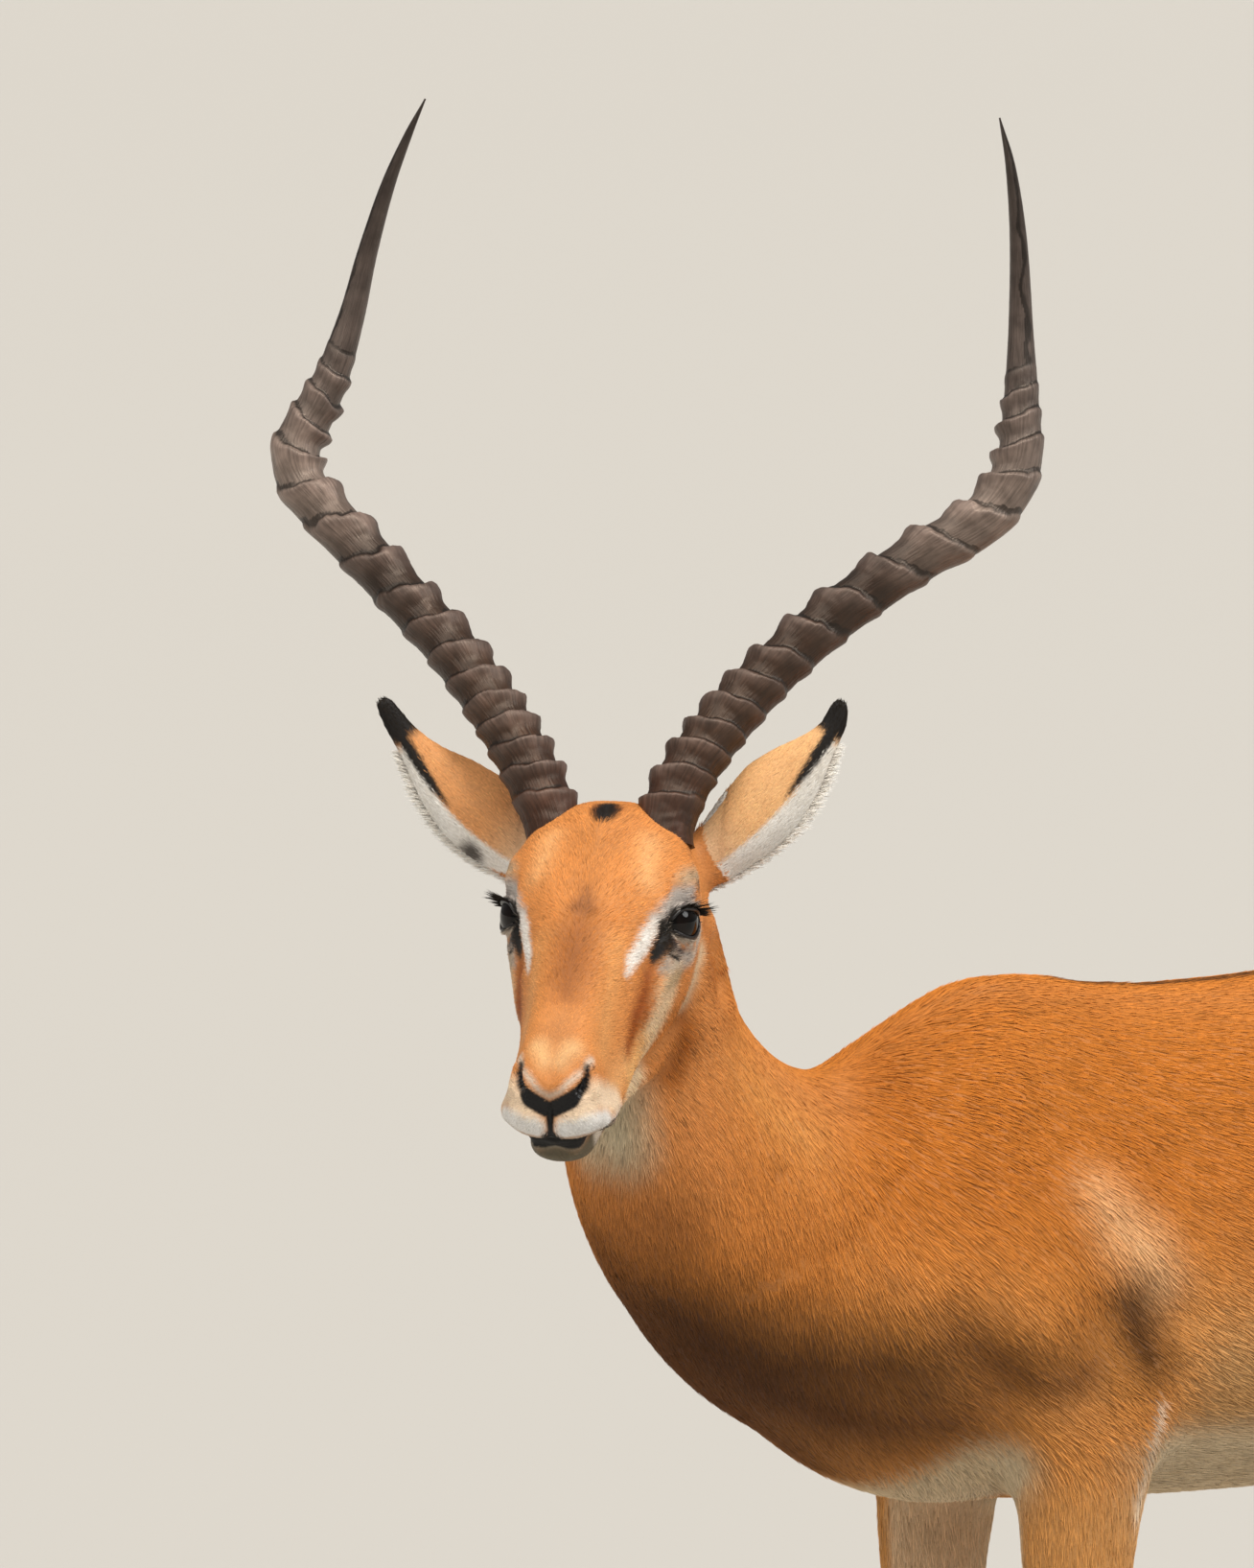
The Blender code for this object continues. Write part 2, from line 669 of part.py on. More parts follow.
def ring_marks(length):
    """Shares along the horn, with how far each stands out: groove, crest, groove ... tip."""
    marks = [(0.0, 0.0)]
    at = 0.012
    for k in range(HORN_RIDGES):
        spacing = RIDGE_SPACING[0] + RIDGE_SPACING[1] * math.sin(math.pi * k / HORN_RIDGES)
        marks.append((at / length, 0.0))
        marks.append(((at + 0.7 * spacing) / length, 1.0))
        at += spacing
    bare = np.linspace(at / length, 1.0, 9)
    return marks + [(share, 0.0) for share in bare]


def horn_mesh(name, line, side, sides=9):
    out, back, up = level_head_frame(side)
    base = in_head(HORN_BASE, side)
    rows = through(line, 240)
    centre = np.array(base) + rows[:, :1] * out + rows[:, 1:2] * back + rows[:, 2:3] * up
    travelled = np.concatenate([[0], np.cumsum(np.linalg.norm(np.diff(centre, axis=0), axis=1))])
    share_at = travelled / travelled[-1]
    made = []
    frame_side = np.array(back)
    for share, rise in ring_marks(travelled[-1]):
        point = np.array([np.interp(share, share_at, c) for c in centre.T])
        tangent = heading_at(share, share_at, centre, 0.012)
        frame_side = frame_side - tangent * (frame_side @ tangent)
        frame_side /= np.linalg.norm(frame_side)
        other = np.cross(tangent, frame_side)
        radius = max(HORN_RADIUS * np.interp(share, share_at, rows[:, 3]), 0.0012)
        radius += RIDGE_HEIGHT * (rise - 0.5 * min(radius / 0.01, 1) * (share < 0.9))
        angle = np.linspace(0, 2 * math.pi, sides, endpoint=False)
        made.append(
            point
            + radius * (1 + HORN_FLATNESS) * np.cos(angle)[:, None] * frame_side
            + radius * (1 - HORN_FLATNESS) * np.sin(angle)[:, None] * other
        )
    return skin_rings(name, made)


def ear_mesh(name, line, side):
    """A cupped leaf: a rounded back towards EAR_BACK_FACES and a hollow behind it."""
    centres = through(line, 121)
    travelled = np.linspace(0, 1, len(centres))
    centres = np.array([in_head(point, side) for point in centres])
    facing = np.array(in_head(EAR_BACK_FACES, side) - HEAD_CENTRE)
    bend = np.linspace(-1, 1, 7)
    rings = []
    for share, half, depth in through(EAR_OUTLINE, 14):
        axis = heading_at(share, travelled, centres, 0.02)
        front = facing - axis * (facing @ axis)
        front /= np.linalg.norm(front)
        across = np.cross(axis, front)
        centre = np.array([np.interp(share, travelled, c) for c in centres.T]) - front * 0.5 * depth
        wall = min(EAR_WALL, half * 1.2)
        outer = [
            centre + across * half * math.sin(b * EAR_WRAP) + front * depth * math.cos(b * EAR_WRAP)
            for b in bend
        ]
        inner = [
            centre
            + across * (half - wall / 2 * abs(b)) * math.sin(b * EAR_WRAP)
            + front * (depth * math.cos(b * EAR_WRAP) - wall)
            for b in bend[::-1]
        ]
        rings.append(outer + inner)
    return skin_rings(name, rings)


def eye_mesh(name, side):
    shape = bmesh.new()
    bmesh.ops.create_uvsphere(shape, u_segments=14, v_segments=9, radius=EYE_RADIUS)
    bmesh.ops.translate(shape, verts=shape.verts, vec=in_head(EYE_SEAT, side))
    mesh = bpy.data.meshes.new(name)
    shape.to_mesh(mesh)
    shape.free()
    return mesh


def coronet(y, foot_y):
    """Height of the hoof's top edge: highest at the toe, lower to the heel."""
    return CORONET_HEIGHT - CORONET_SLOPE * (y - foot_y)


def claw_mesh(name, foot, inner_side):
    """One claw of a foot: its flat sole on the ground, its toe forward (-Y)."""
    count = 12
    rings = []
    for share in (0.0, 0.5, 1.0):
        toe = foot.y - HOOF_LENGTH * (TOE_SHARE - TOE_SLOPE * share)
        heel = foot.y + HOOF_LENGTH * (1 - TOE_SHARE - HEEL_SLOPE * share)
        ring = []
        for k in range(count):
            turn = 2 * math.pi * k / count
            lengthwise = math.sin(turn)
            y = (toe + heel) / 2 + lengthwise * (heel - toe) / 2
            squeeze = 1 - 0.5 * max(-lengthwise, 0) ** 3
            outward = CLAW_GAP / 2 + (1 - math.cos(turn)) / 2 * HOOF_WIDTH * squeeze
            ring.append((foot.x + inner_side * outward, y, share * (coronet(y, foot.y) - CUT_GAP)))
        rings.append(ring)
    return skin_rings(name, rings)


# ---------------------------------------------------------------- assembly
def halves(make, name, *measures):
    """Two cutters on one plane: just this side of it, and just that side of it."""
    return (make(f"{name}_{gap}", *measures, gap) for gap in (-CUT_GAP / 2, CUT_GAP / 2))


def feet():
    """Each leg's name, kind, side and the middle of its foot on the ground."""
    for kind, sections in (("foreleg", FORELEG), ("hindleg", HINDLEG)):
        for side, word in ((1, "left"), (-1, "right")):
            name = f"{kind}_{word}"
            yield name, kind, side, Vector((side * sections[-2][2], sections[-2][1] + STEP[name], 0))


def parted_flesh():
    """Head, neck, tail, legs and trunk, cut from one fused body of flesh."""
    fine = fused(flesh_lofts(), "flesh", FLESH_VOXEL)
    relaxed(fine, RELAX_PASSES, softness(points_of(fine)))
    flesh = thinned(fine, FLESH_TRIANGLES)

    throat = in_head(THROAT_TO_POLL[0])
    to_face = HEAD.to_3x3() @ Vector(THROAT_TO_POLL[1])
    head_in, head_out = halves(beyond, "head_side", throat, to_face, 0.4, 0.20)
    neck_in, neck_out = halves(beyond, "neck_side", *NECK_BASE, 0.6, 0.9)
    tail_in, tail_out = halves(beyond, "tail_side", *TAIL_ROOT, 0.1, 0.17)
    steps = {
        "head": [("INTERSECT", head_in)],
        "neck": [("INTERSECT", neck_in), ("DIFFERENCE", head_out)],
        "tail": [("INTERSECT", tail_in)],
        "trunk": [("DIFFERENCE", neck_out), ("DIFFERENCE", tail_out)],
    }
    for name, kind, side, foot in feet():
        inside, outside = halves(leg_block, name + "_side", LEG_CUTS[kind], side)
        coronet_point = (0, foot.y, CORONET_HEIGHT)
        sole = beyond(name + "_sole", coronet_point, (0, -CORONET_SLOPE, -1), 0.1, 0.2, 0.0)
        steps[name] = [("INTERSECT", inside), ("DIFFERENCE", sole)]
        steps["trunk"].append(("DIFFERENCE", outside))
    return {name: boolean(flesh.copy(), name, cuts) for name, cuts in steps.items()}


def add_head_pieces(made):
    """Horns, ears and eyes, each cut clear of the head by the gap between pieces."""
    whole_head = grown(made["head"], MEETING_GAP, "head_grown")
    for side, word, horn_line, ear_line in (
        (1, "left", HORN_LEFT, EAR_LEFT),
        (-1, "right", HORN_RIGHT, EAR_RIGHT),
    ):
        horn, ear, eye = (f"{piece}_{word}" for piece in ("horn", "ear", "eye"))
        made[horn] = boolean(horn_mesh(horn, horn_line, side), horn, [("DIFFERENCE", whole_head)])
        horn_guard = grown(made[horn], MEETING_GAP, horn + "_grown")
        clear = [("DIFFERENCE", whole_head), ("DIFFERENCE", horn_guard)]
        made[ear] = boolean(ear_mesh(ear, ear_line, side), ear, clear)
        made[eye] = eye_mesh(eye, side)
    for word in ("left", "right"):
        socket = grown(made["eye_" + word], MEETING_GAP, "socket_" + word)
        made["head"] = boolean(made["head"], "head", [("DIFFERENCE", socket)])


def build():
    for leftover in list(bpy.data.objects):
        bpy.data.objects.remove(leftover)

    made = parted_flesh()
    add_head_pieces(made)
    for name, _kind, side, foot in feet():
        for inner_side, place in ((side, "outer"), (-side, "inner")):
            hoof = f"hoof_{name}_{place}"
            made[hoof] = claw_mesh(hoof, foot, inner_side)

    for helper in [o for o in bpy.data.objects if o.hide_render]:
        bpy.data.objects.remove(helper)
    for name, mesh in made.items():
        mesh.transform(Matrix.Translation(-MIDDLE))
        placed(name, mesh, name.split("_")[0])


build()
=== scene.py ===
"""A standing impala ram at life size, its head turned to its left.

One skin carries the markings, and a short coat of solid hair locks lies over it.
Horns, eyes, lids, lashes and hooves are pieces of their own.

Tables are in the withers frame: X to the animal's left, Y back from the withers, Z up
from the ground. MIDDLE moves each finished piece into the row frame. The face is
worked in the head's own frame: forward to the nose, outward, up. Lengths are in metres,
and in millimetres in the tables that from_mm reads.
"""

import itertools
import math

import bmesh
import bpy
import numpy as np
from bpy.props import FloatProperty, FloatVectorProperty, IntProperty, PointerProperty
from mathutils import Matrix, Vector


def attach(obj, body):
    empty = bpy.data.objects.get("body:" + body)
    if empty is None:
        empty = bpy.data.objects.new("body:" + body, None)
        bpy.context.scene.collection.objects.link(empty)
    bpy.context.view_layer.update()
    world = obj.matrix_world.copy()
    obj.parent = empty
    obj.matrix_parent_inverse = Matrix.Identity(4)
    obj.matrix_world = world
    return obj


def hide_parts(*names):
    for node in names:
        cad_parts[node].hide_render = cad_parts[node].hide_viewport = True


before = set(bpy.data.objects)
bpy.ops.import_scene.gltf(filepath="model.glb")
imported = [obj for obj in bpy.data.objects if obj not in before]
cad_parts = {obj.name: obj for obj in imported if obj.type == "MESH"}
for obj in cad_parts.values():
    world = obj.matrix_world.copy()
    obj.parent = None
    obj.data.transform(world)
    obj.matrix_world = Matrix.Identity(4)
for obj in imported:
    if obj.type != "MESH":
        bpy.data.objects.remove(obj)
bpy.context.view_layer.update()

bl_info = {
    "name": "Impala ram",
    "version": (1, 0, 0),
    "blender": (4, 5, 0),
    "location": "3D View > Sidebar > Impala",
    "description": "Builds the skin, coat, horns, eyes and hooves of a standing impala ram",
    "category": "Object",
}


def from_mm(table):
    """A table written in millimetres, to hundredths, in metres; its words stay."""
    if isinstance(table, str):
        return table
    if isinstance(table, (int, float)):
        return round(table * 100) / 100000
    return [from_mm(part) for part in table]


# ---------------------------------------------------------------- places, metres
MIDDLE = np.array((-0.0315, 0.135, 0.0))
MM = 0.001

HEAD_CENTRE = np.array((0.060, -0.316, 0.897))
HEAD_TURN = math.radians(45.5)
HEAD_DROP = math.radians(12.5)
HEAD_ROLL = math.radians(1.2)

# Fusing and relaxing the skin: grids, passes, and how far and how much the seam of the
# neck, the neck's root and the face are relaxed.
BODY_VOXEL = 0.0066
HEAD_VOXEL = 0.0021
BODY_RELAX = 14
HEAD_RELAX = 120
SEAM_RELAX = 24
SEAM_REACH = 0.018
ROOT_REACH = 0.030
FACE_SHARE = 0.12
LAST_RELAX = 5
LAST_SHARE = 0.8
# Where the faces are halved, in the head frame: round the eye, ahead of and below the
# nose's place, and ahead of the mouth's place within so much of its height.
FINE_EYE = 0.025
FINE_NOSE = (0.137, -0.030)
FINE_MOUTH = (0.098, -0.087, 0.009)
# Face forms apply in front of this, in the head frame; body forms behind it.
FACE_FORMS_FROM = -0.100

# Trunk sections: back from withers, top, bottom, half width, height of widest level,
# power of the upper half, power of the lower half (2 is an ellipse).
TRUNK = [
    (-0.205, 0.705, 0.635, 0.030, 0.665, 2.0, 2.0),
    (-0.185, 0.735, 0.600, 0.058, 0.665, 2.0, 2.0),
    (-0.150, 0.765, 0.558, 0.084, 0.665, 2.0, 2.0),
    (-0.100, 0.797, 0.527, 0.099, 0.665, 1.9, 2.0),
    (-0.045, 0.828, 0.512, 0.105, 0.660, 1.7, 2.0),
    (0.000, 0.843, 0.512, 0.108, 0.655, 1.6, 2.0),
    (0.040, 0.843, 0.510, 0.110, 0.650, 1.6, 2.0),
    (0.095, 0.833, 0.508, 0.114, 0.650, 1.7, 2.1),
    (0.160, 0.831, 0.507, 0.121, 0.650, 1.9, 2.1),
    (0.250, 0.834, 0.509, 0.128, 0.655, 2.0, 2.1),
    (0.340, 0.842, 0.520, 0.126, 0.665, 2.0, 2.1),
    (0.425, 0.851, 0.541, 0.116, 0.690, 2.0, 2.0),
    (0.500, 0.851, 0.566, 0.106, 0.715, 1.9, 2.0),
    (0.565, 0.836, 0.600, 0.094, 0.730, 1.9, 2.0),
    (0.615, 0.813, 0.635, 0.074, 0.735, 2.0, 2.0),
    (0.650, 0.782, 0.675, 0.045, 0.732, 2.0, 2.0),
]

# Neck sections: centre x, y, z, half width, half depth.
NECK = from_mm([
    (0, 20, 672, 88, 130),
    (0, -80, 670, 90, 129),
    (0, -150, 690, 81, 113),
    (3, -207, 738, 70, 89),
    (8, -241, 797, 58, 71),
    (16, -254, 850, 53, 66),
    (30, -266, 892, 47, 56),
])

# Skull and upper jaw in the head frame: forward, top, then half width and height of
# the upper side, middle side and lower side, and the bottom.
SKULL = from_mm([
    (-104, 12, 12, 8, 20, -18, 12, -50, -56),
    (-88, 36, 24, 30, 43, -10, 32, -62, -78),
    (-62, 53, 34, 46, 51, 4, 43, -66, -88),
    (-34, 59, 42, 50, 58.5, 12, 47, -64, -92),
    (-6, 53, 46, 41, 60, 8, 46, -62, -92),
    (20, 41, 39, 31, 52, -8, 42, -64, -90),
    (45, 26, 30, 17, 44, -23, 37, -67, -88),
    (70, 11, 23, 4, 36, -32, 34, -72, -88),
    (95, -4, 20, -10, 31, -42, 34.5, -76, -89),
    (120, -19, 19, -24, 30, -54, 34, -81, -91),
    (138, -30, 20, -35, 32, -64, 32.5, -84, -93),
    (152, -40, 18, -44, 28, -68, 24, -85, -92),
    (162, -53, 11, -56, 17, -68, 12, -81, -85),
])

# Lower jaw in the head frame: forward, half width, top, bottom.
JAW = from_mm([
    (-60, 30, -40, -84),
    (-35, 42, -40, -104),
    (0, 39, -60, -107),
    (40, 29, -75, -104),
    (80, 25, -82, -105),
    (110, 22.5, -85, -110),
    (130, 20.5, -87, -112),
    (145, 14, -89, -105),
])

# Leg sections: height, back from withers, outward, half depth, half width.
FORELEG = from_mm([
    (740, -20, 60, 52, 30),
    (690, -20, 72, 78, 36),
    (630, 0, 79, 83, 38),
    (580, 24, 81, 66, 36),
    (535, 26, 78, 52, 31),
    (490, 23, 75, 43.5, 28),
    (430, 21, 73, 33.5, 24),
    (370, 18, 71, 26, 21),
    (320, 15, 69, 23.5, 21.5),
    (288, 13, 68, 24, 23.5),
    (258, 16, 68, 19.5, 19),
    (220, 17, 68, 16, 14),
    (165, 17, 68, 15, 13.2),
    (125, 18, 68, 17, 15.5),
    (103, 18, 68, 20, 18.5),
    (80, 10, 68, 17.8, 17),
    (57, -3, 68, 17.8, 17.2),
    (34, -10, 68, 20.5, 20),
    (18, -12, 68, 20.5, 20),
])
HINDLEG = from_mm([
    (790, 520, 50, 85, 36),
    (735, 530, 64, 114, 43),
    (670, 532, 74, 116, 45),
    (610, 525, 80, 108, 44),
    (560, 516, 83, 90, 40),
    (510, 524, 82, 68, 34),
    (460, 545, 80, 48, 28.5),
    (415, 568, 78, 34.5, 23.5),
    (378, 588, 77, 31, 20.5),
    (345, 600, 76, 32, 21.5),
    (310, 596, 76, 26.5, 20.5),
    (270, 589, 75, 19.5, 16.5),
    (210, 582, 74, 17, 14),
    (155, 577, 73, 19, 15),
    (128, 575, 73, 19.5, 16.5),
    (105, 572, 73, 20.5, 18.5),
    (82, 563, 73, 18, 17),
    (58, 550, 73, 17.8, 17.2),
    (34, 543, 73, 20.5, 20),
    (18, 541, 73, 20.5, 20),
])

# What lies in front of this belongs to the forelegs.
LEG_SPLIT = 0.25
# How far each leg stands behind the sections above: a small natural step.
STEP = {
    "foreleg_left": 0.007,
    "foreleg_right": -0.007,
    "hindleg_left": 0.022,
    "hindleg_right": -0.022,
}

# Tail sections: centre y, z, half width, half thickness.
TAIL = from_mm([
    (600, 815, 16, 14),
    (640, 806, 17, 14),
    (668, 780, 16, 13),
    (681, 725, 18, 14),
    (684, 660, 23, 16),
    (682, 600, 20, 14),
    (680, 565, 8, 7),
])

# Muscles and bony points that stand out of the lofts, on both sides: centre x, y, z,
# then half sizes. MALE_FORMS lie on the midline.
MUSCLES = from_mm([
    (50, -12, 722, 36, 60, 78),
    (80, 45, 655, 30, 55, 60),
    (74, -85, 640, 36, 50, 50),
    (83, 68, 585, 22, 22, 24),
    (66, 462, 780, 30, 45, 40),
    (64, 585, 690, 40, 60, 100),
    (80, 455, 580, 26, 42, 45),
    (76, 630, 362, 12, 16, 22),
])
MALE_FORMS = from_mm([
    (0, 395, 537, 14, 50, 16),
    (0, 590, 585, 26, 28, 46),
])

# Horn centre lines from the base, in the turned head's level frame: outward, back,
# up, and the share of the base radius.
HORN_BASE = (-0.050, 0.034, 0.052)
HORN_RADIUS = 0.0200
HORN_FLATNESS = 0.04
THINNEST_HORN = 0.0007
# Half the length that a ring's direction is taken over, and the size of the places that
# carry the horn's grain: round it, and per metre along it.
HORN_SPAN = 0.007
GRAIN_ROUND = 0.018
GRAIN_ALONG = 0.10
# How far round from the horn's front its ridges stand highest, in degrees.
RIDGE_TURN = 62.0
# Distance from ridge to ridge along the horn, spread over all its ridges, and where the
# first stands.
RIDGE_SPACING = from_mm([20, 18, 17, 20, 23, 26, 31, 34, 32, 27, 19, 17, 13])
FIRST_RIDGE = 0.014
HORN_LINES = {
    "left": [
        (-0.001, -0.006, -0.019, 1.03),
        (0.000, 0.000, -0.002, 1.00),
        (0.014, 0.022, 0.033, 0.95),
        (0.046, 0.058, 0.0765, 0.90),
        (0.088, 0.088, 0.117, 0.87),
        (0.135, 0.111, 0.151, 0.86),
        (0.166, 0.124, 0.169, 0.86),
        (0.183, 0.134, 0.187, 0.86),
        (0.191, 0.144, 0.209, 0.81),
        (0.190, 0.155, 0.242, 0.66),
        (0.1875, 0.166, 0.290, 0.48),
        (0.185, 0.171, 0.342, 0.34),
        (0.180, 0.172, 0.386, 0.20),
        (0.173, 0.172, 0.417, 0.03),
    ],
    "right": [
        (0.000, -0.006, -0.018, 1.03),
        (0.006, 0.000, -0.001, 1.00),
        (0.032, 0.022, 0.040, 0.95),
        (0.075, 0.060, 0.087, 0.90),
        (0.122, 0.090, 0.128, 0.87),
        (0.168, 0.113, 0.168, 0.86),
        (0.187, 0.124, 0.187, 0.85),
        (0.192, 0.134, 0.207, 0.84),
        (0.183, 0.144, 0.229, 0.75),
        (0.173, 0.152, 0.252, 0.63),
        (0.163, 0.162, 0.288, 0.50),
        (0.155, 0.169, 0.325, 0.39),
        (0.143, 0.172, 0.366, 0.28),
        (0.130, 0.172, 0.398, 0.16),
        (0.119, 0.172, 0.421, 0.03),
    ],
}

# Ear centre lines in the head frame, and the outline: share of the line, half width,
# depth of the cup.
EAR_LINES = {
    "left": from_mm([(-62, 34, 9), (-72, 61, 27), (-81, 85, 51), (-91, 111, 77), (-99, 127, 96),
                     (-104, 133, 113)]),
    "right": from_mm([(-64, 38, 6), (-77, 65, 19), (-86, 91, 37), (-94, 120, 60), (-100, 141, 82),
                      (-104, 155, 102)]),
}
EAR_OUTLINE = [
    (0.00, 0.016, 0.016),
    (0.18, 0.021, 0.019),
    (0.32, 0.0255, 0.021),
    (0.43, 0.0260, 0.019),
    (0.54, 0.0215, 0.015),
    (0.65, 0.0145, 0.010),
    (0.76, 0.0098, 0.006),
    (0.90, 0.0076, 0.004),
    (0.97, 0.0060, 0.003),
    (1.00, 0.0030, 0.002),
]
EAR_BACK_FACES = (0.88, 0.05, 0.46)
EAR_WALL = 0.0044
EAR_WRAP = 1.45
EAR_REACH = 0.155
EAR_LEVEL = 0.86

# The head is joined to the neck across this plane, in the head frame.
JOIN_POINT = np.array((-0.0664, 0.0, -0.0942))
JOIN_NORMAL = np.array((0.88, 0.0, 0.474)) / math.hypot(0.88, 0.474)
JOIN_GAP = 0.0035
# The ball round HEAD_CENTRE that holds the head and ears, and how far it fades beyond.
HEAD_REACH = 0.285
HEAD_FADE = 0.05
THROAT = np.array((-0.040, 0.0, -0.080))
# Where the forehead's hair parts, in the head frame.
WHORL = np.array((0.052, 0.0, 0.022))

# Where the neck runs into the shoulder, made smooth: places and half widths.
NECK_ROOT = from_mm([(72, -95, 765, 14), (77, -131, 714, 14), (75, -170, 672, 14)])

EYE_RADIUS = 0.0180
EYE_SEAT = np.array((0.000, 0.0435, 0.001))
EYE_FRONT_CORNER = np.array((0.020, 0.050, 0.0005))
EYE_REAR_CORNER = np.array((-0.012, 0.067, 0.0050))
LID_HALF_LENGTH = 0.0172
LID_UPPER = 0.0072
LID_LOWER = 0.0124
LID_FORWARD = 0.0030
LID_THICKNESS = 0.0012
UPPER_RIM = 0.0013
LOWER_RIM = 0.0010
# The lids' fold and the roll inside it: distance from the opening, width, height (the
# fold is shallower below the eye), and how deep the skin goes under the ball's face.
FOLD_AT, FOLD_WIDTH, UPPER_FOLD, LOWER_FOLD = 0.0046, 0.0011, 0.0010, 0.0006
ROLL_AT, ROLL_WIDTH, ROLL_HEIGHT = 0.0022, 0.0014, 0.0008
SOCKET_DEPTH = 0.0035
SOCKET_REACH = 0.034
PUPIL_LENGTH = 0.0075
PUPIL_HEIGHT = 0.0034
IRIS_RADIUS = 0.0135

CORONET_HEIGHT = 0.034
CORONET_SLOPE = 0.30
HOOF_LENGTH = 0.060
HOOF_WIDTH = 0.0195
TOE_SHARE = 0.62
TOE_SLOPE = 0.30
HEEL_SLOPE = 0.04
CLAW_GAP = 0.0016
SOLE_SHARE = 0.86
ANKLE_TUCK = 0.30

# Rings along each loft, and points round it.
TRUNK_RINGS, TRUNK_SIDES = 90, 48
NECK_RINGS, NECK_SIDES = 60, 56
SKULL_RINGS, SKULL_STEPS = 100, 9
JAW_RINGS, JAW_SIDES = 60, 40
LEG_RINGS, LEG_SIDES = 130, 32
TAIL_RINGS, TAIL_SIDES = 50, 24
MUSCLE_RINGS, MUSCLE_SIDES = 16, 28
EAR_ROWS, EAR_RINGS, EAR_SIDES = 121, 60, 19
HORN_ROWS, HORN_RINGS, HORN_SIDES = 900, 520, 56
CLAW_RINGS, CLAW_SIDES = 16, 48

# The hair's locks: parts along each, the least width of a coat lock, how deep its root
# is sunk, how far aside its colour may be taken, and its patch on the chart.
COAT_PARTS = 1
LONG_PARTS = 4
THINNEST_LOCK = 0.0007
LOCK_SINK = 0.0002
COLOUR_SPREAD = 0.0009
PATCH_SIZE = 0.003
LASH_WIDTH = 0.0011
FRINGE_WIDTH = 0.0006
# Seeds of the long hairs: where they stand, how each turns, how light each is.
LASH_SEEDS = (11, 3, 5)
FRINGE_SEEDS = (23, 5, 9)
# How deep the coat is on the shanks, what the body adds, and on head and ears.
SHANK_DEPTH = 0.0012
BODY_DEPTH = 0.0016
HEAD_DEPTH = 0.0009
EAR_DEPTH = 0.0004
# How much the locks' lightness varies, the share of dark flecks and how much darker
# they are, and a lock's lightness at its root and what its tip adds: the darker root is
# painted shade between the locks.
COAT_UNEVEN = 0.08
HEAD_UNEVEN = 0.13
FLECK_SHARE = 0.16
FLECK_DARK = 3.2
ROOT_LIGHT = 0.74
TIP_LIGHT = 0.48


def linear(hex_colour):
    """An sRGB hex colour as linear red, green and blue."""
    parts = [int(hex_colour[i : i + 2], 16) / 255 for i in (0, 2, 4)]
    return tuple(c / 12.92 if c <= 0.04045 else ((c + 0.055) / 1.055) ** 2.4 for c in parts)


# ---------------------------------------------------------------- markings
# Each stroke: colour, softness of its edge, then a path of places and half widths.
# Face strokes are in the head frame and lie on both sides.
FACE_FIELDS = from_mm([
    ("C07C40", 34, [(0, 0, 49, 8), (30, 0, 36, 5)]),
    ("E0A060", 30, [(64, 22, 4, 4), (120, 26, -40, 6)]),
    ("E8AE74", 24, [(-10, 30, 48, 4), (20, 34, 34, 4)]),
    ("E0A468", 24, [(92, 34, -58, 8), (124, 34, -66, 10)]),
    ("A2622E", 26, [(50, 0, 22, 4), (68, 0, 12, 12), (90, 0, 0, 13), (108, 0, -12, 8)]),
    ("86522E", 14, [(36, 0, 31, 1), (48, 3, 24, 3)]),
    ("C9854A", 20, [(124, 0, -22, 8), (140, 0, -32, 10)]),
    # Darker brown behind the cheek along the jaw's rear edge: partly the hair's own colour, partly painted
    # shade where the jaw meets the neck.
    ("96500F", 24, [(-14, 48, -56, 4), (-16, 46, -80, 8), (-10, 38, -102, 6)]),
    ("A8642C", 24, [(-42, 56, -16, 6), (-46, 56, -50, 8)]),
    ("EBCBA4", 18, [(30, 49.5, -34.5, 13), (46, 42, -51, 14.5), (54, 36, -67, 13.5), (44, 32, -85, 14),
                    (66, 31, -86, 7), (96, 33, -83, 5)]),
    ("E2AE70", 22, [(60, 38, -56, 7), (90, 34, -70, 9)]),
    ("DCC4A2", 14, [(-28.6, 57, -25.8, 4), (-21.1, 54.6, -39.2, 4), (-10, 49, -56, 3)]),
    ("96480C", 16, [(44, 40, -13, 3), (56, 38, -25, 6), (66.7, 36.7, -34.6, 7), (84.5, 33.1, -51.7, 5)]),
])

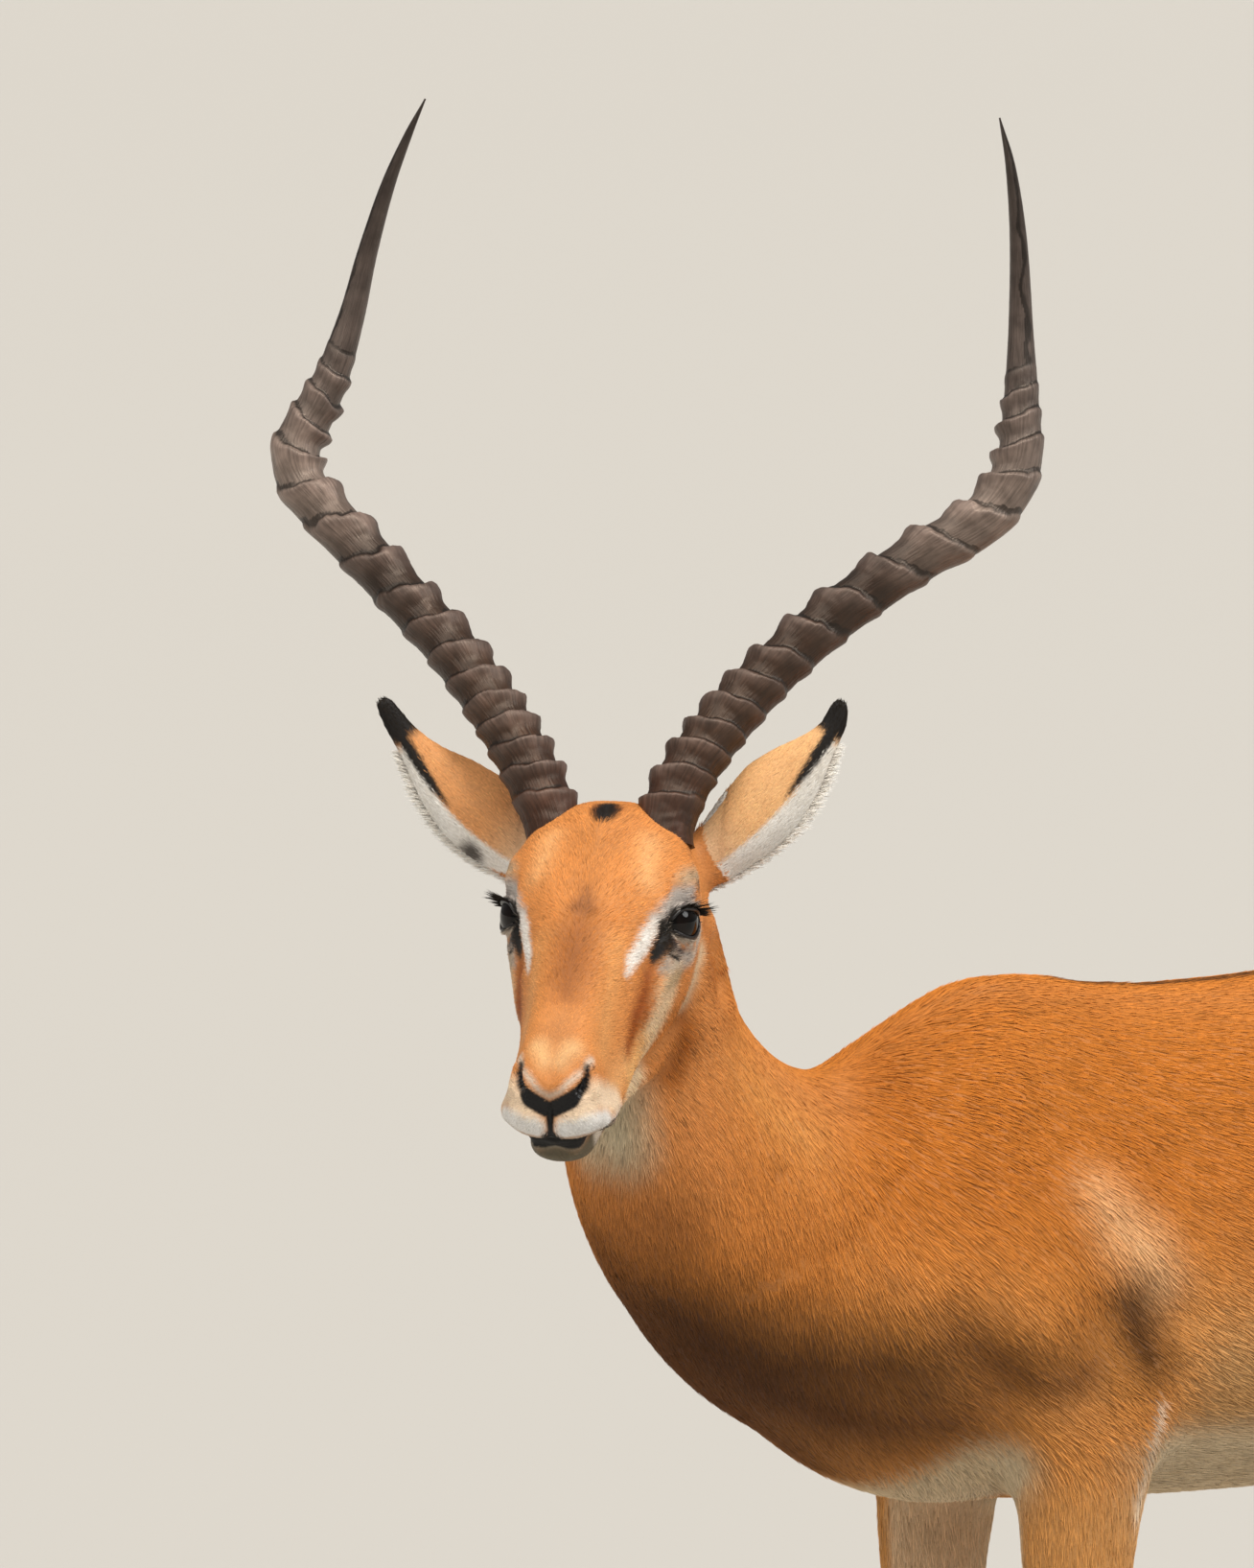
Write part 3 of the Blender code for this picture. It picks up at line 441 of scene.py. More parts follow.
# Finer marks, laid over the grey ring round each eye.
FACE_STROKES = from_mm([
    ("B8A896", 8, [(30, 47.5, -20, 3.4), (20, 52, -18, 5)]),
    ("B0A294", 7, [(37, 44, -17.5, 2.4), (30, 47, -14, 4), (23, 50, -10, 4), (17, 53, -8, 3)]),
    ("B29A78", 12, [(32.7, 48.4, -30, 4), (19.1, 52.3, -25.8, 6)]),
    ("C2B4A4", 10, [(13, 54.5, -20.5, 4), (-7.1, 57.2, -21.1, 6), (-20, 59, -13, 5)]),
    ("B79E80", 12, [(2, 53.7, 30, 4.5), (-17.3, 58.6, 26.4, 5)]),
    ("40342C", 7.5, [(-11, 57.5, 23, 2.4), (-15.9, 59.1, 19.9, 4)]),
    ("BDB3AB", 8, [(-1.8, 55.1, 21.2, 4), (5.5, 53, 20.5, 5), (21, 46.8, 16.8, 5.5),
                   (31.7, 41.5, 11.8, 5)]),
    ("F0E8E0", 6, [(31.7, 41.5, 12.5, 2), (40, 38.5, 6.2, 5.8), (47.5, 35, 1, 6), (60, 31.8, -4.5, 4.6),
                   (69, 30, -10, 1.6)]),
    ("161211", 5, [(15, 53, 14, 1.6), (24, 48, 8.5, 3), (30, 45, 4, 5), (32.6, 42.9, -3.2, 6),
                   (39.4, 41.1, -9.4, 2.6)]),
    ("161211", 5, [(23.3, 46.4, 1, 5), (25, 48, -7, 4)]),
    ("161211", 5, [(30, 44, -1, 6), (34.5, 42, -5, 6.6), (40, 40.5, -10, 3)]),
    ("A89C92", 5, [(18.5, 52.5, -13, 2.2), (6, 57, -18, 4)]),
    ("423A3B", 3, [(20, 49, -3, 1.6), (18.5, 52, -10.5, 2.2), (12, 55, -14, 1.2)]),
    ("0D0B0B", 1.6, [(27.6, 47.8, -7.2, 1.4), (20.9, 49.8, -14, 1.2), (14.7, 53.8, -18.7, 0.8)]),
    ("5E5456", 1.8, [(9, 54, 16.5, 0.6), (2.5, 55.9, 16.8, 1), (-9.7, 58.3, 15, 0.8)]),
    ("E3B078", 14, [(140, 10, -36, 6), (150, 4, -40, 5)]),
    ("EDD2B4", 12, [(158, 12, -74, 9), (150, 26, -60, 9), (128, 34, -72, 9)]),
    ("DCCBB9", 6, [(140, 22, -41, 2), (151, 15, -48, 2), (158, 6, -55, 1.5), (160, 0, -58, 1.5)]),
    ("F4F0EB", 6, [(161, 10, -79, 7.5), (154, 23, -77, 8), (138, 31, -77, 5), (116, 34.5, -80, 2)]),
    # Painted shade: the white chin greyed, and its underside darkened further, where shade falls under the
    # jaw.
    ("B0A28E", 8, [(152, 0, -92, 10), (142, 24, -88, 9), (112, 33, -84, 4)]),
    ("6A604C", 12, [(146, 0, -106, 10), (128, 16, -100, 11), (110, 26, -94, 6), (85, 16, -104, 10)]),
    ("DCCFBC", 8, [(122, 24, -96, 5), (100, 30, -92, 5)]),
    ("D4C6A8", 36, [(60, 0, -108, 16), (12, 0, -122, 22), (-6, 10, -145, 18)]),
    ("100E0D", 2.2, [(158, 0, -89.8, 5.6), (149.4, 13.4, -90.5, 3.8), (144.1, 23.6, -88.2, 2.8),
                     (140.2, 32.8, -82.8, 1.3), (120.7, 34.9, -82.2, 0.9), (104, 34.5, -81.5, 0.4)]),
    ("100E0D", 2.2, [(152, 0, -94.5, 4.4), (147.5, 12, -94.5, 3.8), (140, 22, -91.5, 3.4),
                     (132, 29, -88, 2.4), (118, 33.5, -85, 1.2)]),
    ("7A3E18", 12, [(-30, -3, 59, 9)]),
    ("171110", 6, [(-18, 1, 58, 4), (-26, 3, 60, 6.4), (-36, -4, 60.5, 5.4)]),
])
# The bare nose: its V between the nostrils and the groove down to the mouth.
NOSE_PAD = from_mm([(147, 20.8, -44, 1.2), (149, 20.6, -50, 2), (150.5, 19, -54, 3.4),
                    (157, 13, -60.5, 5.4), (164.5, 0, -67.4, 5.2)])
NOSE_GROOVE = from_mm([(164, 0, -70, 2.6), (164, 0, -86, 1.4)])

# Body strokes are in the withers frame, on both sides. All but the last are painted light and
# shade: painted highlights on the neck's upper side and on the triceps, and painted shade on the
# neck below the head, down its front, over the lower chest, under the shoulder and behind the
# elbow. The last is the foreleg's real white rear edge.
BODY_STROKES = from_mm([
    # Painted highlight: a lighter band down the neck's upper side, where the light falls.
    ("DB9A55", 80, [(40, -275, 840, 4), (66, -215, 800, 6), (72, -170, 760, 6)]),
    # Painted shade: the neck below the head, its front, the lower chest and the band above it, darkened
    # where shade falls.
    ("5C2E12", 80, [(34, -300, 780, 4), (50, -262, 715, 12)]),
    ("5A3214", 80, [(0, -290, 690, 10), (0, -270, 640, 20), (0, -200, 580, 30), (0, -130, 545, 20)]),
    ("5A3214", 100, [(30, -230, 620, 30), (60, -150, 575, 30), (80, -70, 575, 20)]),
    ("3C1E0A", 110, [(30, -250, 650, 20), (60, -190, 610, 24), (92, -110, 610, 16)]),
    # Painted highlight: a pale patch on the bulge of the triceps.
    ("EFC08E", 66, [(101, 26, 713, 4), (110, 43, 679, 13), (109, 63, 657, 8)]),
    # Painted shade: a dark band in the hollow under the shoulder.
    ("4E2809", 70, [(102, -79, 634, 6), (98, -41, 610, 10), (103, -15, 596, 11), (107, 13, 604, 10)]),
    # Painted shade in the hollow behind the elbow, with somewhat darker hair there too.
    ("2E1404", 52, [(105, 42, 640, 12), (102, 58, 612, 15)]),
    ("EAD8C2", 14, [(104, 66, 575, 3), (100, 60, 545, 4), (96, 56, 510, 3)]),
])
DARK_STROKES = from_mm([
    ("2A1812", 10, [(0, 50, 850, 3), (0, 300, 848, 4), (0, 500, 860, 5), (0, 640, 820, 7)]),
    ("171110", 7, [(28, 650, 770, 6), (52, 655, 700, 7), (72, 640, 630, 6), (80, 610, 570, 4)]),
    ("151010", 12, [(73, 602, 170, 6), (73, 600, 128, 8)]),
])
LOWER_LIP = from_mm([(156, 0, -91.5, 4), (148, 12.5, -91.5, 3.6), (142, 23, -88.8, 2)])
BRISKET_WHITE = from_mm([(0, -60, 520, 30), (60, -30, 545, 20)])
BACK_RUFOUS = linear("C0742C")
SIDE_RUFOUS = linear("CB8844")
FLANK_FAWN = linear("BA8C58")
NECK_RUFOUS = linear("C87F3C")
HEAD_RUFOUS = linear("D38A4A")
BELLY_WHITE = linear("E6D3B6")
# The belly's white, darkened: painted shade where the belly and brisket face down.
BELLY_PAINTED_SHADE = linear("CDB795")
LID_GREY = linear("BDB3AB")
UNDER_EYE = linear("C2B4A4")
LEG_FAWN = linear("CC9254")
SHANK_BROWN = linear("B67B45")
EAR_RUFOUS = linear("E6A266")
# The left ear's back, painted paler: painted light falling on it.
EAR_PAINTED_LIGHT = linear("F6BE84")
EAR_BASE = linear("ECC8A0")
EAR_INSIDE = linear("A8988A")
HAIR_BLACK = linear("151110")
HAIR_WHITE = linear("F7F2EA")


# ---------------------------------------------------------------- the head's own frame
def head_axes():
    """Rows: forward to the nose, to the animal's left, up."""
    heading = np.array((math.sin(HEAD_TURN), -math.cos(HEAD_TURN), 0.0))
    left = np.array((math.cos(HEAD_TURN), math.sin(HEAD_TURN), 0.0))
    sky = np.array((0.0, 0.0, 1.0))
    forward = heading * math.cos(HEAD_DROP) - sky * math.sin(HEAD_DROP)
    up = heading * math.sin(HEAD_DROP) + sky * math.cos(HEAD_DROP)
    tilted_left = left * math.cos(HEAD_ROLL) - up * math.sin(HEAD_ROLL)
    tilted_up = up * math.cos(HEAD_ROLL) + left * math.sin(HEAD_ROLL)
    return np.array((forward, tilted_left, tilted_up))


HEAD_AXES = head_axes()
SIDES = (("left", 1), ("right", -1))


def in_head(points, side=1):
    """Points given in the head frame, on one side of it, in the withers frame."""
    return HEAD_CENTRE + (np.array(points, float) * (1, side, 1)) @ HEAD_AXES


def from_head(points):
    return (points - HEAD_CENTRE) @ HEAD_AXES.T


def unit(vectors):
    length = np.linalg.norm(vectors, axis=-1, keepdims=True)
    return vectors / np.maximum(length, 1e-9)


def folded(points, axis):
    """The points with one coordinate made positive, for forms on both sides."""
    both = points.copy()
    both[:, axis] = np.abs(both[:, axis])
    return both


def smooth(share):
    """A smooth step from 0 at share 0 to 1 at share 1."""
    share = np.clip(share, 0, 1)
    return share * share * (3 - 2 * share)


def blend(first, second, share):
    share = np.asarray(share)[..., None]
    return np.asarray(first) * (1 - share) + np.asarray(second) * share


# ---------------------------------------------------------------- loft tools
def between(before, here, there, after, t):
    """The point at share t from here to there, on a curve through all four."""
    return 0.5 * (
        2 * here
        + (there - before) * t
        + (2 * before - 5 * here + 4 * there - after) * t**2
        + (3 * here - before - 3 * there + after) * t**3
    )


def through(rows, count):
    """A smooth curve through a table's rows: count rows, evenly by row number."""
    rows = np.array(rows, float)
    padded = np.vstack([2 * rows[0] - rows[1], rows, 2 * rows[-1] - rows[-2]])
    at = np.linspace(0, len(rows) - 1, count)
    first = np.minimum(at.astype(int), len(rows) - 2)
    t = (at - first)[:, None]
    return between(*(padded[first + k] for k in range(4)), t)


def oval(count, half_width, up, down, up_power=2.0, down_power=2.0):
    """A section's outline: (side, height) for count points, counter-clockwise."""
    angle = np.linspace(0, 2 * math.pi, count, endpoint=False)
    cosine, sine = np.cos(angle), np.sin(angle)
    power = np.where(sine >= 0, 2 / up_power, 2 / down_power)
    height = np.where(sine >= 0, up, down)
    side = half_width * np.sign(cosine) * np.abs(cosine) ** power
    return side, height * np.sign(sine) * np.abs(sine) ** power


def ring_faces(count, sides):
    """Faces over count rings of equal size, each end closed by one face."""
    faces = [tuple(range(sides))[::-1], tuple((count - 1) * sides + j for j in range(sides))]
    for i in range(count - 1):
        a, b = i * sides, (i + 1) * sides
        faces += [(a + j, a + (j + 1) % sides, b + (j + 1) % sides, b + j) for j in range(sides)]
    return faces


def ring_shape(rings):
    rings = np.array(rings, float)
    return rings.reshape(-1, 3), ring_faces(*rings.shape[:2])


def facing_out(mesh):
    shape = bmesh.new()
    shape.from_mesh(mesh)
    bmesh.ops.recalc_face_normals(shape, faces=shape.faces)
    shape.to_mesh(mesh)
    shape.free()
    return mesh


def mesh_of(shapes, name):
    """One mesh of several (points, faces) shapes, every closed shell facing out."""
    points, faces, first = [], [], 0
    for shape_points, shape_faces in shapes:
        points.append(shape_points)
        faces += [tuple(first + v for v in face) for face in shape_faces]
        first += len(shape_points)
    mesh = bpy.data.meshes.new(name)
    mesh.from_pydata(np.vstack(points).tolist(), [], faces)
    return facing_out(mesh)


def linked(name, mesh):
    piece = bpy.data.objects.new(name, mesh)
    bpy.context.scene.collection.objects.link(piece)
    return piece


def points_of(mesh, kind="co"):
    points = np.empty(len(mesh.vertices) * 3, np.float32)
    mesh.vertices.foreach_get(kind, points)
    return points.reshape(-1, 3).astype(float)


def set_points(mesh, points):
    mesh.vertices.foreach_set("co", points.astype(np.float32).ravel())
    mesh.update()


def evaluated_mesh(piece, name):
    graph = bpy.context.evaluated_depsgraph_get()
    mesh = bpy.data.meshes.new_from_object(piece.evaluated_get(graph), depsgraph=graph)
    mesh.name = name
    return mesh


def set_attribute(mesh, name, kind, values):
    """Writes a value for each vertex: kind is FLOAT, FLOAT_VECTOR or FLOAT_COLOR."""
    layer = mesh.attributes.get(name) or mesh.attributes.new(name, kind, "POINT")
    field = {"FLOAT": "value", "FLOAT_VECTOR": "vector", "FLOAT_COLOR": "color"}[kind]
    layer.data.foreach_set(field, np.asarray(values, np.float32).ravel())


def attribute_values(mesh, name, width):
    layer = mesh.attributes[name]
    values = np.empty(len(layer.data) * width, np.float32)
    layer.data.foreach_get({1: "value", 3: "vector"}[width], values)
    return values.reshape(-1, width).astype(float) if width > 1 else values.astype(float)


def opaque(colours):
    return np.column_stack([colours, np.ones(len(colours))])


def finished(name, mesh, made_of, replaces=(), flat=False):
    """Puts a mesh made in the withers frame into the row frame as a finished piece."""
    set_points(mesh, points_of(mesh) - MIDDLE)
    mesh.materials.clear()
    mesh.materials.append(made_of)
    if flat:
        mesh.shade_flat()
    else:
        mesh.shade_smooth()
    piece = linked(name, mesh)
    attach(piece, "root")
    if replaces:
        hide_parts(*replaces)
    return piece


# ---------------------------------------------------------------- the lofted pieces
def trunk_shape():
    rings = []
    for y, top, bottom, half, level, up_power, down_power in through(TRUNK, TRUNK_RINGS):
        x, z = oval(TRUNK_SIDES, half, top - level, level - bottom, up_power, down_power)
        rings.append(np.column_stack([x, np.full_like(x, y), level + z]))
    return ring_shape(rings)


def neck_shape():
    rows = through(NECK, NECK_RINGS)
    along = unit(np.gradient(rows[:, :3], axis=0))
    rings = []
    for (x, y, z, half, depth), tangent in zip(rows, along):
        side = unit(np.cross((0, 0, 1.0), tangent))
        crest = np.cross(tangent, side)
        across, high = oval(NECK_SIDES, half, depth, depth)
        rings.append(np.array([x, y, z]) + across[:, None] * side + high[:, None] * crest)
    return ring_shape(rings)


def half_section(top, widths, bottom, steps):
    """A closed section of the head through the top, the side points and the bottom."""
    right = [(0.0, top), *widths, (0.0, bottom)]
    left = [(-w, h) for w, h in reversed(widths)]
    loop = np.array(right + left)
    around = np.vstack([loop[-1], loop, loop[:2]])
    return [between(*around[i : i + 4], t / steps) for i in range(len(loop)) for t in range(steps)]


def skull_shape():
    rings = []
    for a, top, w1, h1, w2, h2, w3, h3, bottom in through(SKULL, SKULL_RINGS):
        section = half_section(top, [(w1, h1), (w2, h2), (w3, h3)], bottom, SKULL_STEPS)
        rings.append(in_head([(a, w, h) for w, h in section]))
    return ring_shape(rings)


def jaw_shape():
    rings = []
    for a, half, top, bottom in through(JAW, JAW_RINGS):
        level = (top + bottom) / 2
        side, height = oval(JAW_SIDES, half, top - level, level - bottom, 2.4, 2.2)
        rings.append(in_head(np.column_stack([np.full_like(side, a), side, level + height])))
    return ring_shape(rings)


def leg_fade(z):
    """How much of a leg's step applies at height z: all below 0.35, none above 0.62."""
    return smooth((0.62 - z) / 0.27)


def leg_shape(name, sections, side):
    rings = []
    for z, y, out, depth, width in through(sections, LEG_RINGS):
        across, along = oval(LEG_SIDES, width, depth, depth)
        x = side * out + across
        rings.append(np.column_stack([x, y + STEP[name] * leg_fade(z) + along, np.full_like(x, z)]))
    return ring_shape(rings)


def tail_shape():
    rows = through(TAIL, TAIL_RINGS)
    along = unit(np.gradient(rows[:, :2], axis=0))
    rings = []
    for (y, z, half, thick), tangent in zip(rows, along):
        side, out = oval(TAIL_SIDES, half, thick, thick)
        rings.append(np.column_stack([side, y - tangent[1] * out, z + tangent[0] * out]))
    return ring_shape(rings)


def ellipsoid_shape(centre, half_sizes):
    rings = []
    for level in np.linspace(-math.pi / 2 + 0.02, math.pi / 2 - 0.02, MUSCLE_RINGS):
        x, y = oval(MUSCLE_SIDES, math.cos(level), math.cos(level), math.cos(level))
        ring = np.column_stack([x, y, np.full_like(x, math.sin(level))])
        rings.append(np.array(centre) + ring * half_sizes)
    return ring_shape(rings)


class Ear:
    """One ear: its centre line, and its directions at each share of its length."""

    def __init__(self, word, side):
        self.word = word
        self.side = side
        self.centres = in_head(through(EAR_LINES[word], EAR_ROWS), side)
        facing = in_head(EAR_BACK_FACES, side) - HEAD_CENTRE
        axes = unit(np.gradient(self.centres, axis=0))
        self.axes = axes
        self.fronts = unit(facing - axes * (axes @ facing)[:, None])
        self.across = np.cross(axes, self.fronts)
        self.outline = np.array(through(EAR_OUTLINE, EAR_ROWS))
        self.shares = np.linspace(0, 1, EAR_ROWS)

    def at(self, share, table):
        return np.column_stack([np.interp(share, self.shares, c) for c in table.T])

    def widths(self, share):
        """Half width and depth of the cup at shares of the line."""
        return (np.interp(share, self.outline[:, 0], self.outline[:, k]) for k in (1, 2))

    def shape(self):
        rings = []
        bend = np.linspace(-1, 1, EAR_SIDES)[:, None] * EAR_WRAP
        for share in np.linspace(0, 1, EAR_RINGS):
            half, depth = (float(w) for w in self.widths(share))
            front, across, centre = (
                self.at([share], table) for table in (self.fronts, self.across, self.centres)
            )
            centre = centre - front * 0.5 * depth
            wall = min(EAR_WALL, half * 1.2)
            outer = centre + across * half * np.sin(bend) + front * depth * np.cos(bend)
            thin = half - wall / 2 * np.abs(bend / EAR_WRAP)
            inner = centre + across * thin * np.sin(bend) + front * (depth * np.cos(bend) - wall)
            rings.append(np.vstack([outer, inner[::-1]]))
        return ring_shape(rings)

    def places(self, points):
        """Share along the ear, share across it (1 at its lower edge), height on its front."""
        share = ((points[:, None, :] - self.centres[None, ::10]) ** 2).sum(2).argmin(1) / 12
        for _ in range(3):
            centre, axis = self.at(share, self.centres), self.at(share, self.axes)
            share = np.clip(share + ((points - centre) * axis).sum(1) / EAR_REACH, 0, 1)
        half, depth = self.widths(share)
        gap = points - self.at(share, self.centres)
        across = (gap * self.at(share, self.across)).sum(1) * self.side / half
        front = (gap * self.at(share, self.fronts)).sum(1)
        return share, across, front, depth


EARS = {word: Ear(word, side) for word, side in SIDES}


def body_shapes():
    shapes = [trunk_shape(), neck_shape(), skull_shape(), jaw_shape(), tail_shape()]
    shapes += [ellipsoid_shape(form[:3], form[3:]) for form in MALE_FORMS]
    for word, side in SIDES:
        shapes.append(leg_shape("foreleg_" + word, FORELEG, side))
        shapes.append(leg_shape("hindleg_" + word, HINDLEG, side))
        for x, y, z, *half_sizes in MUSCLES:
            step = STEP["hindleg_" + word] * float(leg_fade(z)) if y > 0.3 else 0.0
            shapes.append(ellipsoid_shape((side * x, y + step, z), half_sizes))
    return shapes


def head_shapes():
    return [skull_shape(), jaw_shape(), neck_shape(), *(ear.shape() for ear in EARS.values())]


def near_head(points):
    """1 in the ball that holds the head and ears, fading to 0 down the neck."""
    return smooth((HEAD_REACH - np.linalg.norm(points - HEAD_CENTRE, axis=1)) / HEAD_FADE)


# ---------------------------------------------------------------- fusing the skin
def fused(shapes, name, voxel):
    lofts = linked(name, mesh_of(shapes, name))
    remesh = lofts.modifiers.new("fuse", "REMESH")
    remesh.mode = "VOXEL"
    remesh.voxel_size = voxel
    mesh = evaluated_mesh(lofts, name)
    bpy.data.objects.remove(lofts)
    return mesh


def relaxed(points, ends, passes, weight):
    """Moves each point towards its neighbours' mean, passes times, by its weight."""
    a, b = ends.T
    size = len(points)
    count = np.bincount(a, minlength=size) + np.bincount(b, minlength=size)
    share = (0.5 * weight / np.maximum(count, 1))[:, None]
    keep = (0.5 * weight)[:, None]
    for _ in range(passes):
        total = np.empty_like(points)
        for k in range(3):
            total[:, k] = np.bincount(a, points[b, k], size) + np.bincount(b, points[a, k], size)
        points = points * (1 - keep) + total * share
    return points


def edge_ends(mesh):
    ends = np.empty(len(mesh.edges) * 2, np.int32)
    mesh.edges.foreach_get("vertices", ends)
    return ends.reshape(-1, 2)


def softness(points):
    """How much each point relaxes: 1 where muscles blend, little on face, ears and shanks."""
    low = np.clip((points[:, 2] - 0.40) / 0.12, 0, 1)
    forward, out, _up = from_head(points).T
    face = np.clip((forward + 0.075) / 0.045, 0, 1) * near_head(points)
    tail = np.clip((points[:, 1] - 0.650) / 0.02, 0, 1)
    ear = smooth((np.abs(out) - 0.056) / 0.020) * (forward < -0.045) * (points[:, 2] > EAR_LEVEL)
    return (0.10 + 0.90 * low) * (1 - 0.90 * face) * (1 - 0.9 * tail) * (1 - 0.985 * ear)


def cut_at_join(mesh, keep_head):
    """A bmesh of one side of the plane that joins head and body, cut JOIN_GAP apart."""
    sign = 1 if keep_head else -1
    normal = JOIN_NORMAL @ HEAD_AXES
    place = in_head(JOIN_POINT) + sign * normal * JOIN_GAP / 2
    shape = bmesh.new()
    shape.from_mesh(mesh)
    everything = shape.verts[:] + shape.edges[:] + shape.faces[:]
    bmesh.ops.bisect_plane(
        shape, geom=everything, plane_co=place, plane_no=normal * sign, clear_inner=True
    )
    return shape


def rim_loop(verts):
    """The verts of a round opening in order, with each one's share of the way round."""
    rim = set(verts)
    loop = []
    while rim:
        run = [rim.pop()]
        ahead = run
        while ahead:
            near = [e.other_vert(run[-1]) for e in run[-1].link_edges if e.is_boundary]
            ahead = [v for v in near if v in rim][:1]
            rim.difference_update(ahead)
            run += ahead
        loop = max(loop, run, key=len)
    points = np.array([v.co for v in loop])
    side = unit(np.cross(JOIN_NORMAL @ HEAD_AXES, (0, 0, 1.0)))
    up = np.cross(JOIN_NORMAL @ HEAD_AXES, side)
    flat = np.column_stack([points @ side, points @ up])
    ahead = np.roll(flat, -1, axis=0)
    if (flat[:, 0] * ahead[:, 1] - flat[:, 1] * ahead[:, 0]).sum() < 0:
        loop, flat = loop[::-1], flat[::-1]
    first = int(flat[:, 1].argmax())
    loop, flat = loop[first:] + loop[:first], np.roll(flat, -first, axis=0)
    steps = np.linalg.norm(np.roll(flat, -1, axis=0) - flat, axis=1)
    return loop, np.concatenate([[0], np.cumsum(steps)]) / steps.sum()


def zipped(shape, first, second):
    """Fills the strip between two round openings with triangles."""
    (loop_a, way_a), (loop_b, way_b) = rim_loop(first), rim_loop(second)
    i = j = 0
    while i < len(loop_a) or j < len(loop_b):
        here_a, here_b = loop_a[i % len(loop_a)], loop_b[j % len(loop_b)]
        if j >= len(loop_b) or (i < len(loop_a) and way_a[i + 1] <= way_b[j + 1]):
            i += 1
            shape.faces.new((here_a, here_b, loop_a[i % len(loop_a)]))
        else:
            j += 1
            shape.faces.new((here_a, here_b, loop_b[j % len(loop_b)]))


def joined_skin(body, head):
    """Body and head meshes joined into one closed skin."""
    head_part = cut_at_join(head, True)
    whole = cut_at_join(body, False)
    first = [v for v in whole.verts if v.is_boundary]
    known = len(whole.verts)
    head_mesh = bpy.data.meshes.new("head_part")
    head_part.to_mesh(head_mesh)
    head_part.free()
    whole.from_mesh(head_mesh)
    bpy.data.meshes.remove(head_mesh)
    whole.verts.ensure_lookup_table()
    second = [v for v in whole.verts[known:] if v.is_boundary]
    zipped(whole, first, second)
    bmesh.ops.holes_fill(whole, edges=[e for e in whole.edges if e.is_boundary])
    return whole


def refine(shape):
    """Halves the faces round the eyes, the nose and the mouth."""
    middles = np.array([f.calc_center_median() for f in shape.faces])
    local = from_head(middles)
    local[:, 1] = np.abs(local[:, 1])
    opening = (EYE_FRONT_CORNER + EYE_REAR_CORNER) / 2
    near_eye = np.linalg.norm(local - opening, axis=1) < FINE_EYE
    near_nose = (local[:, 0] > FINE_NOSE[0]) & (local[:, 2] < FINE_NOSE[1])
    near_mouth = (local[:, 0] > FINE_MOUTH[0]) & (np.abs(local[:, 2] - FINE_MOUTH[1]) < FINE_MOUTH[2])
    chosen = near_eye | near_nose | near_mouth
    edges = {e for f, wanted in zip(shape.faces, chosen) if wanted for e in f.edges}
    bmesh.ops.subdivide_edges(shape, edges=list(edges), cuts=1, use_grid_fill=True)
    return shape


# ---------------------------------------------------------------- sculpting
def gap_to(points, path):
    """Distance to a path's skin: its rows hold a place and, last, a half width."""
    path = np.array(path, float)
    if len(path) == 1:
        return np.linalg.norm(points - path[0, :3], axis=1) - path[0, 3]
    best = np.full(len(points), np.inf)
    for start, end in zip(path[:-1], path[1:]):
        run = end[:3] - start[:3]
        share = np.clip((points - start[:3]) @ run / max(run @ run, 1e-12), 0, 1)
        away = np.linalg.norm(points - start[:3] - share[:, None] * run, axis=1)
        best = np.minimum(best, away - start[3] - share * (end[3] - start[3]))
    return best


def fitted(path, surface, step=0.003):
    """A path laid on a surface: cut into short steps, each moved to the nearest point."""
    rows = np.array(path, float)
    way = np.concatenate([[0], np.cumsum(np.linalg.norm(np.diff(rows[:, :3], axis=0), axis=1))])
    at = np.linspace(0, way[-1], int(way[-1] / step) + 1)
    laid = np.column_stack([np.interp(at, way, column) for column in rows.T])
    for row in laid:
        row[:3] = surface[((surface - row[:3]) ** 2).sum(1).argmin()]
    return laid


def close_to(points, path, reach):
    """Which points lie within reach of the box round a path."""
    low, high = path[:, :3].min(0) - reach, path[:, :3].max(0) + reach
    return np.all((points > low) & (points < high), axis=1)


